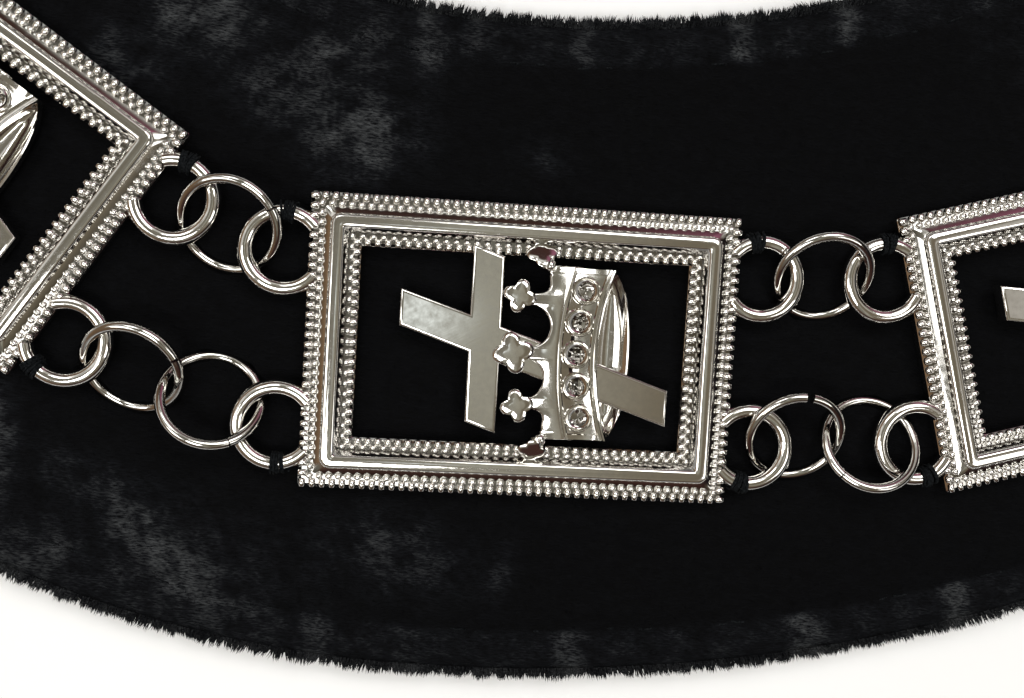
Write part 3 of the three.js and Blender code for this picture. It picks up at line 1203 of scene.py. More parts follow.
    def crown_body(self) -> Shell:
        """Body of the crown between its points and the jewelled band.

        The left edge is at the neck of each point, and between two necks it follows half an
        ellipse to the right, down to the valley. Rows run across the crown.

        Returns:
            The body.
        """
        necks, end = np.array(self.necks), self.crown_half + self.crown_end
        y = np.linspace(-end, end, 150)
        left = np.interp(y, necks[:, 0], necks[:, 1])
        for (y0, x0), (y1, x1), valley in zip(necks[:-1], necks[1:], self.valleys):
            first, last = y0 + self.neck_half, y1 - self.neck_half
            share = (y - (first + last) / 2) / ((last - first) / 2)
            base = x0 + (x1 - x0) * (share + 1) / 2
            arch = base + (valley - base) * np.sqrt(np.clip(1 - share ** 2, 0, 1))
            left = np.where(np.abs(share) < 1, arch, left)
        top = self.crown_height(y)
        right = np.full_like(y, self.crown_inner + self.band_bow)
        ridge = self.band_left - 0.45 + self.band_bow * (y / self.crown_half) ** 2
        edge = [(left + inset, top - depth) for inset, depth in self.crown_edge]
        rows = [(left, self.crown_low), *edge, (ridge, top + 0.02), (right, top - 0.05),
                (right, self.crown_low)]
        points = np.stack([np.stack([x, y, np.broadcast_to(z, y.shape)], -1) for x, z in rows], 1)
        return Shell.grid(points).rounded()

    def finial(self, row: Finial, thick: float, dome: float) -> Shell:
        """Four-lobed finial: rings whose radius swells at the lobes.

        The radius at an angle is the size times the waist plus the rest times the cosine of twice
        the angle, without its sign, to the power 1.1. The top falls towards the rim.

        Args:
            row: the finial's sizes.
            thick: its thickness.
            dome: how far its top falls to the rim.

        Returns:
            The finial, with the middle of its top in the origin.
        """
        turn = np.linspace(0, 2 * math.pi, 40, endpoint=False)
        reach = row.size * (row.waist + (1 - row.waist) * np.abs(np.cos(2 * turn)) ** 1.1)
        flat = np.stack([reach * np.cos(turn), reach * np.sin(turn)], -1)
        rings = [(1.0, -thick), *((share, -dome * fall) for share, fall in self.finial_rings)]
        return Shell.grid(np.stack([np.column_stack([share * flat, np.full(40, z)]) for share, z in rings]))

    def crown_points(self) -> list[Shell]:
        """The five finials, with a ball under each end one.

        Returns:
            The finials and the balls, which are lathed.
        """
        ball = lathe(np.array(self.ball_profile), 12).rounded()
        shells = []
        for row in self.finials:
            end = abs(row.y) > self.crown_half
            thick, dome = row.top - self.crown_low, self.finial_dome
            if end:
                thick, dome = self.end_thickness, self.end_dome
            lean = -math.copysign(self.end_lean, row.y) if end else 0.0
            stand = tilted(lean) @ turned(math.radians(row.turn))[0]
            shells.append(self.finial(row, thick, dome).placed(stand, np.array([row.x, row.y, row.top])))
            if end:
                middle = np.array([self.ball_x, row.y * self.ball_share, self.ball_height])
                shells.append(ball.placed(np.eye(3), middle))
        return shells

    def band_height(self, y: np.ndarray) -> np.ndarray:
        """Height of the jewelled band, which falls with the square of the distance from its middle."""
        return self.band_top - (y / self.crown_half) ** 2

    def jewelled_band(self) -> Shell:
        """Jewelled band: a section with raised rims, carried across the crown along its bow.

        The section goes over the left rim, the floor with its raised ends, and a groove between
        two rims on the right.

        Returns:
            The band.
        """
        half, margins = self.crown_half, np.array(self.end_margins)
        y = np.concatenate([margins - half, np.linspace(1.2 - half, half - 1.2, 21), half - margins[::-1]])
        end_rim = np.where(np.abs(y) > half - self.end_rim_width, self.end_rim, 0.0)
        top = self.band_height(y)
        left = self.band_left + self.band_bow * (y / half) ** 2
        right = self.band_right + self.rim_bow * (y / half) ** 2
        low, middle = np.full_like(y, self.crown_low), (left + right) / 2
        left_rim = [(left, low), (left, top - 0.1), (left + 0.12, top + 0.16), (left + 0.42, top + 0.16)]
        floor = [(left + 0.6, top - 0.12 + end_rim), (middle - 0.3, top - 0.4 + end_rim),
                 (right - 1.2, top - 0.12 + end_rim)]
        groove = [(right - 1.08, top + 0.2), (right - 0.84, top + 0.2), (right - 0.72, top - 0.05),
                  (right - 0.6, top - 0.05)]
        right_rim = [(right - 0.46, top + 0.34), (right - 0.22, top + 0.4), (right, top + 0.16),
                     (right + 0.3, top - 0.9), (right + 0.3, low)]
        section = [*left_rim, *floor, *groove, *right_rim]
        return Shell.grid(np.stack([np.stack([x, y, z], -1) for x, z in section], 1))

    def setting_places(self) -> np.ndarray:
        """Middles of the five settings, along the bow of the jewelled band.

        Returns:
            An array of 5 x 3 coordinates.
        """
        y = self.settings_half * np.linspace(1, -1, 5)
        x = self.setting_x + self.setting_bow * (y / self.settings_half) ** 2
        return np.stack([x, y, self.band_height(y)], -1)

    def settings(self) -> Shell:
        """Five round settings: a double ring round a cup whose lining is dented like a cut stone.

        Within the cup the height rises and falls with the sines of three and five times the angle.

        Returns:
            The settings.
        """
        cup = lathe(np.array(self.setting_profile), 20)
        turn = np.arctan2(cup.points[:, 1], cup.points[:, 0])
        lining = np.hypot(cup.points[:, 0], cup.points[:, 1]) < self.lining_radius
        for height, waves, phase in self.dents:
            cup.points[:, 2] += np.where(lining, height * np.sin(waves * turn + phase), 0)
        places = self.setting_places()
        return cup.placed(turned(self.setting_turn * np.arange(len(places))), places)

    def lune(self) -> Shell:
        """Far wall of the crown, seen through its open side: a hollow trough with a thin lip.

        The trough reaches to the right by half an ellipse; each row goes from the jewelled band
        down into the hollow and up to the lip.

        Returns:
            The trough.
        """
        limit = math.pi / 2 - self.lune_end
        y = self.crown_half * np.sin(np.linspace(-limit, limit, 29))
        share = (y / self.crown_half) ** 2
        start = self.band_right - self.lune_lap + self.rim_bow * share
        reach = self.lune_chord + self.lune_reach * np.sqrt(1 - share) - start
        reach = np.maximum(reach, self.lune_least)
        rows = [np.stack([start + part * reach, y, np.full_like(y, self.crown_low + rise)], -1)
                for part, rise in self.lune_section]
        return Shell.grid(np.stack(rows, 1))

    def eyelets(self) -> list[Shell]:
        """The four eyelets: round wire along the part of a circle that lies outside the frame.

        Returns:
            A shell for each short side of the plaque.
        """
        radius = self.layout.eyelet_radius
        limit = math.acos(-(self.layout.eyelet_out + self.eyelet_overlap) / radius)
        turn = np.linspace(-limit, limit, 40)
        path = radius * np.stack([np.cos(turn), np.sin(turn), 0 * turn], -1)
        arc = tube(path, self.eyelet_wire, 12, False)
        shells = []
        for side, heading in ((1, 0.0), (-1, math.pi)):
            places = np.stack([self.layout.eyelet(side, edge) for edge in Edge])
            shells.append(arc.placed(turned(heading), places))
        return shells

    def casting(self) -> Shell:
        """The whole plaque in its own frame.

        Returns:
            The frame and its beading, the emblem and the eyelets.
        """
        frame_parts = [self.moulding(), *self.beading()]
        emblem = [self.cross(), self.crown_body(), self.jewelled_band(), self.settings(), self.lune()]
        return Shell.joined([*frame_parts, *emblem, *self.crown_points(), *self.eyelets()])

    def painted_shade(self, points: np.ndarray) -> np.ndarray:
        """How much painted shade points get, from 0 to 1.

        The floor between the beads gets painted shade where a point lies in the frame, within a hair of the
        step. So do the foot of the inner slope and, in part, the linings of the settings.

        Args:
            points: points of the casting in the plaque's own frame.

        Returns:
            A value for each point.
        """
        halves = np.array([self.layout.plaque_length, self.width]) / 2
        inset = (halves - np.abs(points[:, :2])).min(1)
        rise = points[:, 2] - self.step_height
        floor = (inset > 0.1) & (inset < self.window_inset) & (np.abs(rise) < self.hair)
        foot = np.abs(inset - self.foot_inset) < self.foot_half
        foot &= (rise > self.hair) & (rise < self.foot_rise)
        apart = points[:, None, :2] - self.setting_places()[None, :, :2]
        lining = np.hypot(apart[..., 0], apart[..., 1]).min(1) < self.lining_radius + self.lining_margin
        shade_strength = [self.floor_shade, self.foot_shade, self.lining_shade]
        return np.select([floor, foot, lining], shade_strength, 0.0)

    def build(self, dresser: Dresser) -> None:
        """Makes the eleven plaques, each in the place of its CAD node.

        Args:
            dresser: gives each plaque its finish.
        """
        casting = self.casting()
        painted_shade = self.painted_shade(casting.points)
        for i, place in enumerate(self.layout.plaques()):
            shell = casting.placed(place.matrix(), place.point)
            piece = shell.to_object(f"cast_plaque_{i + 1:02d}", crease=33)
            # Painted shade in the recesses, which the finish darkens.
            mark(piece, "painted_shade", painted_shade)
            dresser.dress(piece, Slot.NICKEL, f"plaque_{i + 1:02d}")


@dataclass
class JumpRings:
    """Round wire rings, each with a butt joint whose ends don't quite meet.

    A joint that the picture shows has an angle and a gap of its own; the others are random.
    """

    layout: Layout
    wire: float = 0.8
    steps: int = 56
    sides: int = 12
    joint_gap: float = 0.16
    joint_step: float = 0.1
    # Painted shade: every ring's nickel is darkened by this share.
    shade_strength: float = 0.45
    seed: int = 11
    joints: dict[str, tuple[float, float]] = field(default_factory=lambda: {
        "outer_ring_03b": (261.0, 1.0),
        "outer_ring_04b": (220.0, 0.3),
        "inner_ring_04": (228.0, 0.25),
    })

    def ring(self, angle: float, gap: float) -> Shell:
        """A ring in its own plane, open at one angle, one end a little above the other.

        The lift is four steps times the cube of the share of the turn less a half.

        Args:
            angle: angle of the joint in radians.
            gap: width of the joint.

        Returns:
            The ring.
        """
        half = gap / 2 / self.layout.ring_radius
        turn = np.linspace(half, 2 * math.pi - half, self.steps)
        lift = 4 * self.joint_step * (turn / (2 * math.pi) - 0.5) ** 3
        radius = self.layout.ring_radius + lift
        path = np.stack([radius * np.cos(turn + angle), radius * np.sin(turn + angle), lift], -1)
        return tube(path, self.wire, self.sides, False)

    def build(self, dresser: Dresser) -> None:
        """Makes the rings, each in the place of its CAD node.

        Args:
            dresser: gives each ring its finish.
        """
        angles = np.random.default_rng(self.seed).uniform(0, 360, 3 * self.layout.oval.plaque_count)
        for (name, place), angle in zip(self.layout.rings().items(), angles):
            joint, gap = self.joints.get(name, (angle, self.joint_gap))
            ring = self.ring(math.radians(joint), gap)
            piece = ring.placed(place.matrix(), place.point).to_object(f"wire_{name}", crease=50)
            # Painted shade: the whole ring is darkened towards the painted shade colour.
            mark(piece, "painted_shade", np.full(len(piece.data.vertices), self.shade_strength))
            dresser.dress(piece, Slot.NICKEL, name)


@dataclass(frozen=True)
class Patch:
    """A patch of painted sheen where the pile lies over: its middle in the front plaque's frame, and its
    size.
    """

    x: float
    y: float
    long: float
    wide: float
    turn: float
    strength: float


@dataclass
class VelvetBand:
    """Padded velvet band: a soft body with rounded edges, creases and stitched grooves.

    Each set of waves is a row of wavelengths.
    """

    layout: Layout
    thickness: float = 4.9
    half_width: float = 48.7
    along_steps: int = 860
    top_columns: int = 76
    under_columns: int = 5
    under_share: float = 0.94
    edge_steps: int = 5
    edge_round: float = 2.6
    edge_bulge: float = 0.75
    edge_power: float = 0.8

    groove_inset: float = 6.0
    groove_depth: float = 0.9
    groove_width: float = 1.0
    pucker: float = 0.22
    stitch_pitch: float = 3.1
    ripple: float = 0.22
    ripple_waves: tuple = (17, 23, 31, 43)
    ripple_margin: float = 9.0
    highest_swell: float = 0.25

    crease_depth: float = 0.45
    crease_least: float = 0.35
    crease_waves: tuple = (5.1, 7.3, 10.9, 14.3)
    crease_limit: float = 0.75
    crease_start: float = 0.6
    crease_rise: float = 1.5

    press_wire: float = 0.75
    press_gap: float = 0.12
    press_spread: float = 1.25
    press_reach: float = 10.0

    # Painted sheen where the pile lies over: a least share all over, and a share along the creases.
    least_sheen: float = 0.06
    crease_sheen: float = 0.5
    crease_fray: float = 0.5
    patch_fray: float = 0.65
    fray_waves: tuple = (3.1, 4.3, 5.9, 7.7, 9.1, 2.3)
    plain_waves: tuple = (34, 41, 53, 67, 79)
    plain_fray: float = 0.45
    plain_limit: float = 0.9
    plain_from: float = 80.0
    plain_rise: float = 30.0
    seed: int = 5
    patches: tuple = (
        Patch(-48, 46, 7, 4.5, 0, 0.85), Patch(-30, 41, 7, 4, 20, 0.55), Patch(-25, 30, 6.5, 5, 10, 0.95),
        Patch(-38, 35, 7, 4, -20, 0.45), Patch(-16, 42, 4.5, 3, 0, 0.4), Patch(2, 28.5, 3.5, 2, 0, 0.25),
        Patch(-60, 38, 6, 5, 0, 0.35), Patch(-75, -17, 3, 7, 0, 0.55), Patch(-51, -33, 9, 2.6, -42, 0.95),
        Patch(-47, -34, 16, 7.5, -18, 0.26), Patch(-17, -31.5, 10, 5, -15, 0.4),
        Patch(-1, -34, 4, 1.4, 78, 0.35), Patch(-62, -22, 9, 3, -20, 0.25), Patch(-68, -30, 7, 2, -25, 0.25),
    )

    def waves(self, x: np.ndarray, y: np.ndarray, lengths: tuple, step: int) -> np.ndarray:
        """Smooth unevenness: sines of several wavelengths in random directions.

        The sines' sum is divided by the square root of their number.

        Args:
            x: first coordinates of the points.
            y: second coordinates of the points.
            lengths: the wavelengths.
            step: what is added to the band's seed.

        Returns:
            A value for each point, mostly between -1 and 1.
        """
        rng = np.random.default_rng(self.seed + step)
        total = np.zeros_like(x)
        for length in lengths:
            heading, phase = rng.uniform(0, 2 * math.pi, 2)
            total += np.sin((x * math.cos(heading) + y * math.sin(heading)) * 2 * math.pi / length + phase)
        return total / math.sqrt(len(lengths))

    def laid_sheen(self, x: np.ndarray, y: np.ndarray) -> np.ndarray:
        """How much painted sheen the pile gets where it lies over, from 0 to 1.

        Named patches near the front plaque are soft ellipses; elsewhere the pile lies over where
        a set of broad waves is high. It lies over along the creases too, and finer waves break up
        every border.

        Args:
            x: coordinates in the collar's frame.
            y: coordinates in the collar's frame.

        Returns:
            The values.
        """
        home = self.layout.home
        offset = np.stack([x - home.point[0], y - home.point[1]], -1) @ home.matrix()[:2, :2]
        fray = self.waves(x, y, self.fray_waves, 1)
        named = np.zeros_like(x)
        for patch in self.patches:
            turn = math.radians(patch.turn)
            dx, dy = offset[..., 0] - patch.x, offset[..., 1] - patch.y
            u = (dx * math.cos(turn) + dy * math.sin(turn)) / patch.long
            v = (dy * math.cos(turn) - dx * math.sin(turn)) / patch.wide
            named += patch.strength * np.exp(-(u ** 2 + v ** 2)) * np.clip(1 + self.patch_fray * fray, 0, 2)
        far = np.hypot(offset[..., 0], offset[..., 1]) - self.plain_from
        broad = self.waves(x, y, self.plain_waves, 2) + self.plain_fray * fray
        plain = np.clip(broad - self.plain_limit, 0, 1) * np.clip(far / self.plain_rise, 0, 1)
        creases = self.creases(*self.layout.oval.locate(x, y)) * np.clip(1 + self.crease_fray * fray, 0, 2)
        return np.clip(named + plain + self.least_sheen + self.crease_sheen * creases, 0, 1)

    def creases(self, s: np.ndarray, v: np.ndarray) -> np.ndarray:
        """Creases that run from the stitching to the edge, uneven along the band.

        Args:
            s: distances along the centreline.
            v: distances from it, away from the neck.

        Returns:
            A value for each point, 0 inside the stitching.
        """
        uneven = self.waves(s, 0 * s, self.crease_waves, 9)
        start = self.half_width - self.groove_inset - self.crease_start
        margin = np.clip((np.abs(v) - start) / self.crease_rise, 0, 1)
        return (self.crease_least + np.clip(uneven - self.crease_limit, 0, 1)) * margin

    def place(self, s: np.ndarray, v: np.ndarray) -> tuple[np.ndarray, np.ndarray]:
        """Plan coordinates of points of the band.

        Args:
            s: distances along the centreline.
            v: distances from it, away from the neck.

        Returns:
            Points and outward directions, with the shape of s and two coordinates.
        """
        points, outward = self.layout.oval.at(s.ravel())
        points = points + outward * v.ravel()[:, None]
        return points.reshape(*s.shape, 2), outward.reshape(*s.shape, 2)

    def top(self, s: np.ndarray, v: np.ndarray) -> np.ndarray:
        """Height of the upper surface.

        The thickness falls in a quarter ellipse at the edges. A groove of the form
        exp(-(distance / width)^2) follows each line of stitching, deeper at each stitch, broad
        waves lie over the whole, and each ring presses its wire into the pile.

        Args:
            s: distances along the centreline.
            v: distances from it, away from the neck.

        Returns:
            The heights.
        """
        xy, _ = self.place(s, v)
        x, y = xy[..., 0], xy[..., 1]
        inset = self.half_width - np.abs(v)
        fall = np.clip(1 - inset / self.edge_round, 0, 1)
        height = self.thickness - 0.5 * self.edge_round * (1 - np.sqrt(1 - fall ** 2))
        pucker = 1 - self.pucker * (1 - np.cos(2 * math.pi * s / self.stitch_pitch))
        groove = np.exp(-((inset - self.groove_inset) / self.groove_width) ** 2)
        ripple = self.waves(x, y, self.ripple_waves, 0) * np.clip(inset / self.ripple_margin, 0, 1)
        height += self.ripple * ripple - self.groove_depth * pucker * groove
        height -= self.crease_depth * self.creases(s, v)
        for ring in self.layout.rings().values():
            self.press(ring, x, y, height)
        return np.minimum(height, self.thickness + self.highest_swell)

    def press(self, ring: Place, x: np.ndarray, y: np.ndarray, height: np.ndarray) -> None:
        """Presses the dent of one ring into the heights, down to just below its wire.

        The dent's depth falls off from the wire's middle by exp(-(distance / spread)^4).

        Args:
            ring: where the ring lies.
            x: coordinates of the points.
            y: coordinates of the points.
            height: heights of the points, which are changed.
        """
        dx, dy = x - ring.point[0], y - ring.point[1]
        near = (np.abs(dx) < self.press_reach) & (np.abs(dy) < self.press_reach)
        dx, dy = dx[near], dy[near]
        u = dx * math.cos(ring.turn) + dy * math.sin(ring.turn)
        w = dy * math.cos(ring.turn) - dx * math.sin(ring.turn)
        reach = np.hypot(u, w / math.cos(ring.tilt))
        mask = np.exp(-(np.abs(reach - self.layout.ring_radius) / self.press_spread) ** 4)
        low = ring.point[2] + w * math.tan(ring.tilt) - self.press_wire - self.press_gap
        height[near] += (np.minimum(height[near], low) - height[near]) * mask

    def body(self) -> Shell:
        """Padded body of the band: the top, two rounded edges and a flat underside.

        Each row is a section across the band. Its edges bulge by the sine of twice the angle and
        rise to the top by a power of the angle's sine.

        Returns:
            The closed body.
        """
        s = np.arange(self.along_steps) * self.layout.oval.length / self.along_steps
        columns = np.linspace(1, -1, self.top_columns) * self.half_width
        s_grid, v_grid = np.meshgrid(s, columns, indexing="ij")
        top = self.top(s_grid, v_grid)
        turn = np.linspace(0, math.pi / 2, self.edge_steps + 1)[:-1]
        bulge = self.half_width + self.edge_bulge * np.sin(2 * turn)
        climb = np.sin(turn)[None] ** self.edge_power
        under = np.linspace(-self.under_share, self.under_share, self.under_columns) * self.half_width
        across = np.concatenate([bulge, columns, -bulge[::-1], under])
        v_all = np.broadcast_to(across, (len(s), len(across)))
        z_all = np.concatenate([top[:, :1] * climb, top, top[:, -1:] * climb[:, ::-1],
                                np.zeros((len(s), len(under)))], 1)
        xy, _ = self.place(np.broadcast_to(s[:, None], v_all.shape), v_all)
        return Shell.grid(np.concatenate([xy, z_all[..., None]], -1), wrap_rows=True)

    def shade(self, piece: bpy.types.Object, extra: float = 0.0) -> None:
        """Marks the painted sheen of laid-over pile on each vertex of a velvet piece.

        Args:
            piece: the piece.
            extra: painted sheen added all over the piece.
        """
        places = np.zeros(len(piece.data.vertices) * 3, np.float32)
        piece.data.vertices.foreach_get("co", places)
        places = places.reshape(-1, 3).astype(float) / MM
        # Painted sheen of the laid-over pile, for the finish to read.
        mark(piece, "laid_sheen", np.minimum(self.laid_sheen(places[:, 0], places[:, 1]) + extra, 1))

    def build(self, dresser: Dresser) -> None:
        """Makes the padded body in the place of its CAD node.

        Args:
            dresser: gives it its finish.
        """
        body = self.body().to_object("padded_band")
        dresser.dress(body, Slot.VELVET, "velvet_band")
        self.shade(body)


@dataclass
class VelvetPile:
    """Pile on the band: strands that stand out beyond both edges, and short fibres on top.

    Pairs are limits of an even spread; a spread is the standard deviation of a normal one, in
    radians.
    """

    band: VelvetBand
    fringe_count: int = 86000
    fringe_length: float = 2.0
    fringe_evenness: tuple = (0.7, 1.08)
    fringe_widths: tuple = (0.12, 0.24)
    fringe_spread: float = 0.2
    # Painted sheen added to the strands beyond the edges.
    fringe_sheen: float = 0.4
    clump_pitch: float = 1.3
    clump_growth: tuple = (0.82, 1.1)
    clump_slant: float = 0.24
    clump_draw: float = 0.35
    root_angles: tuple = (0.02, 1.4, 1.8)
    root_inset: float = 0.6
    root_round: float = 0.9
    root_low: float = 0.5
    climb: float = 0.7
    climb_spread: float = 0.18
    lowest_tip: float = 0.1

    nap_count: int = 14000
    nap_margin: float = 1.0
    nap_sink: float = 0.1
    nap_waves: tuple = (19, 29, 37, 47)
    nap_swirl: float = 0.9
    nap_heading: float = -0.6
    nap_spread: float = 0.35
    nap_lift: tuple = (0.25, 0.6)
    nap_length: tuple = (0.7, 1.3)
    nap_widths: tuple = (0.06, 0.11)

    bend_share: float = 0.55
    bend_rise: float = 0.12
    bend_width: float = 0.75

    def strands(self, roots: np.ndarray, leans: np.ndarray, widths: np.ndarray) -> Shell:
        """Fibres, each a slim bent blade of three triangles.

        A blade has two corners at its root, two near half its length, where it is narrower and
        lifted by a share of the length, and a tip.

        Args:
            roots: n x 3 places of the roots.
            leans: n x 3 vectors from the roots to the tips.
            widths: n widths at the root.

        Returns:
            The blades.
        """
        side = np.cross(leans, [0.0, 0.0, 1.0]) + 1e-6
        side *= widths[:, None] / 2 / np.linalg.norm(side, axis=1, keepdims=True)
        lift = np.array([0, 0, self.bend_rise]) * np.linalg.norm(leans, axis=1, keepdims=True)
        middle, bend = roots + leans * self.bend_share + lift, side * self.bend_width
        points = np.stack([roots - side, roots + side, middle + bend, middle - bend, roots + leans], 1)
        start = np.arange(len(roots))[:, None] * 5
        faces = [start + np.array([[0, 1, 2, 3]]), start + np.array([[3, 2, 4]])]
        return Shell(points.reshape(-1, 3), faces)

    def fringe(self, edge: Edge) -> Shell:
        """Pile that stands out beyond one edge, in uneven clumps whose tips draw together.

        Roots lie on the rounded edge, most of them low. A strand points away from the band, aside
        by its clump's slant and towards its clump's middle, and up by a share of its root's angle.

        Args:
            edge: the edge; the strands are shared out between the two by their lengths.

        Returns:
            The strands.
        """
        band, oval, sign = self.band, self.band.layout.oval, -float(edge.value)
        rng = np.random.default_rng(band.seed + 3 + edge.value)
        share = 0.5 + 0.5 * sign * band.half_width / (oval.length / 2 / math.pi)
        count = round(self.fringe_count * share)
        s = rng.uniform(0, oval.length, count)
        clump = np.round(s / self.clump_pitch).astype(int)
        aside = s - clump * self.clump_pitch
        clumps = clump.max() + 1
        growth = rng.uniform(*self.clump_growth, clumps)[clump]
        slant = rng.normal(0, self.clump_slant, clumps)[clump]
        lowest, span, power = self.root_angles
        rise = lowest + span * rng.uniform(size=count) ** power
        v = sign * (band.half_width - self.root_inset + self.root_round * np.cos(rise))
        z = self.root_low + (band.thickness - self.root_round) * np.sin(rise)
        xy, outward = band.place(s, v)
        length = self.fringe_length * growth * rng.uniform(*self.fringe_evenness, count)
        spin = slant + self.clump_draw * aside / length + rng.normal(0, self.fringe_spread, count)
        along = np.stack([-outward[:, 1], outward[:, 0]], -1)
        flat = outward * (sign * np.cos(spin))[:, None] + along * np.sin(spin)[:, None]
        climb = rise * self.climb + rng.normal(0, self.climb_spread, count)
        leans = np.column_stack([flat * np.cos(climb)[:, None], np.sin(climb)]) * length[:, None]
        leans[:, 2] = np.maximum(leans[:, 2], self.lowest_tip - z)
        return self.strands(np.column_stack([xy, z]), leans, rng.uniform(*self.fringe_widths, count))

    def nap(self) -> Shell:
        """Short fibres that lean over the upper surface and catch the light.

        They are spread evenly by area: a root's distance from the middle of a round band of the
        same length is the square root of an even spread between the squares of its limits.

        Returns:
            The fibres.
        """
        band, count = self.band, self.nap_count
        rng = np.random.default_rng(band.seed + 6)
        s = rng.uniform(0, band.layout.oval.length, count)
        radius = band.layout.oval.length / 2 / math.pi
        reach = band.half_width - self.nap_margin
        low, high = radius - reach, radius + reach
        v = np.sqrt(low ** 2 + (high ** 2 - low ** 2) * rng.uniform(size=count)) - radius
        xy, _ = band.place(s, v)
        z = band.top(s, v) - self.nap_sink
        flow = self.nap_swirl * band.waves(xy[:, 0], xy[:, 1], self.nap_waves, 7) + self.nap_heading
        heading = flow + rng.normal(0, self.nap_spread, count)
        lift = rng.uniform(*self.nap_lift, count)
        length = rng.uniform(*self.nap_length, count)
        leans = np.stack([np.cos(heading), np.sin(heading), lift], -1) * length[:, None]
        return self.strands(np.column_stack([xy, z]), leans, rng.uniform(*self.nap_widths, count))

    def build(self, dresser: Dresser) -> None:
        """Makes the pile of both edges and of the upper surface.

        Args:
            dresser: gives the pieces their finish.
        """
        # The edge strands get extra painted sheen; the surface fibres none.
        piles = (("neck_edge_pile", self.fringe(Edge.NECK), self.fringe_sheen),
                 ("outer_edge_pile", self.fringe(Edge.OUTER), self.fringe_sheen),
                 ("surface_pile", self.nap(), 0.0))
        for name, shell, extra in piles:
            piece = dresser.dress(shell.to_object(name), Slot.VELVET)
            self.band.shade(piece, extra)


@dataclass
class Stitching:
    """Threads: two lines of topstitching, and wraps that hold each eyelet down on the velvet.

    Pairs are limits of an even spread; strays are standard deviations.
    """

    band: VelvetBand
    thread: float = 0.19
    sides: int = 5
    stitch_length: float = 2.3
    stitch_rise: float = 0.3
    stitch_sink: float = 0.2
    stitch_heights: tuple = (-0.22, 0.1)
    stitch_stray: float = 0.12
    turn_stray: float = 0.05
    wrap_turns: int = 9
    wrap_steps: int = 8
    wrap_starts: tuple = (84.0, 99.0)
    wrap_span: float = 20.0
    wrap_reach: float = 1.4
    wrap_looseness: tuple = (-0.04, 0.14)
    wrap_drop: float = 1.5
    wrap_slack: float = 0.022
    seed: int = 21

    def stitch(self) -> Shell:
        """One stitch along +X, its ends dipping into the cloth as a sine's half wave.

        Returns:
            The stitch.
        """
        share = np.linspace(0, 1, 5)
        x = (share - 0.5) * self.stitch_length
        z = self.stitch_rise * np.sin(share * math.pi) - self.stitch_sink
        return tube(np.stack([x, 0 * x, z], -1), self.thread, self.sides, False).rounded()

    def topstitching(self) -> Shell:
        """Both lines of stitches, each stitch turned along the band.

        Returns:
            All the stitches.
        """
        rng = np.random.default_rng(self.seed + 1)
        stitch, lines, length = self.stitch(), [], self.band.layout.oval.length
        for side in (1, -1):
            v_line = side * (self.band.half_width - self.band.groove_inset)
            count = round((length + 2 * math.pi * v_line) / self.band.stitch_pitch)
            s = np.arange(count) * length / count
            v = v_line + rng.normal(0, self.stitch_stray, count)
            xy, outward = self.band.place(s, v)
            z = self.band.top(s, v) + rng.uniform(*self.stitch_heights, count)
            turn = np.arctan2(outward[:, 1], outward[:, 0]) - math.pi / 2
            turn += rng.normal(0, self.turn_stray, count)
            lines.append(stitch.placed(turned(turn), np.column_stack([xy, z])))
        return Shell.joined(lines)

    def wrap(self, start: float, rng: np.random.Generator) -> Shell:
        """Thread wound round the wire of an eyelet that lies about +X from its middle.

        The path goes round the wire with each turn and along it by an equal, then slackened share
        of the span; its lower half is drawn down into the velvet.

        Args:
            start: angle along the eyelet at which the wrap starts, in radians.
            rng: source of the slack between the turns.

        Returns:
            The wound thread.
        """
        turns = np.linspace(0, self.wrap_turns, self.wrap_turns * self.wrap_steps)
        angle = start + math.radians(self.wrap_span) * turns / self.wrap_turns
        knots = np.arange(2 * self.wrap_turns + 1) / 2
        angle += np.interp(turns, knots, rng.normal(0, self.wrap_slack, len(knots)))
        slack = np.interp(turns, knots, rng.uniform(*self.wrap_looseness, len(knots)))
        loose = self.wrap_reach * (1 + slack)
        reach = self.band.layout.eyelet_radius + loose * np.cos(2 * math.pi * turns)
        rise = loose * np.sin(2 * math.pi * turns)
        rise = np.where(rise < 0, rise * self.wrap_drop, rise)
        path = np.stack([reach * np.cos(angle), reach * np.sin(angle), rise], -1)
        return tube(path, self.thread, self.sides, False).rounded()

    def wraps(self) -> Shell:
        """A wrap on each eyelet, on its stretch nearest the corner of the plaque.

        Returns:
            All the wraps.
        """
        rng, layout = np.random.default_rng(self.seed), self.band.layout
        corners = [(side, edge) for side in (1, -1) for edge in Edge]
        shells = []
        for place in layout.plaques():
            for side, edge in corners:
                wrap = self.wrap(math.radians(rng.uniform(*self.wrap_starts)), rng)
                mirror = np.diag([side, edge.value, 1.0])
                local = Shell(wrap.points @ mirror, wrap.faces, wrap.smooth).outward()
                shells.append(local.placed(place.matrix(), place.world(layout.eyelet(side, edge))))
        return Shell.joined(shells)

    def build(self, dresser: Dresser) -> None:
        """Makes the two pieces of thread work."""
        dresser.dress(self.topstitching().to_object("topstitching"), Slot.THREAD)
        dresser.dress(self.wraps().to_object("sewing_wraps"), Slot.THREAD)


@dataclass(frozen=True)
class Lamp:
    """A soft rectangular light aimed at the front plaque: its place and size in metres, its power."""

    name: str
    place: tuple
    size: tuple
    power: float
    colour: tuple

    def build(self, home: Place) -> None:
        """Adds the light to the scene, unseen by the camera itself.

        Args:
            home: the front plaque, in whose frame the light's place is given.
        """
        data = bpy.data.lights.new(self.name, "AREA")
        data.shape = "RECTANGLE"
        data.size, data.size_y = self.size
        data.energy = self.power
        data.color = self.colour
        lamp = bpy.data.objects.new(self.name, data)
        spot = Vector(home.world(np.array(self.place) / MM)[0] * MM)
        look = Vector(home.point * MM) - spot
        lamp.matrix_world = Matrix.Translation(spot) @ look.to_track_quat("-Z", "Y").to_matrix().to_4x4()
        lamp.visible_camera = False
        bpy.context.scene.collection.objects.link(lamp)


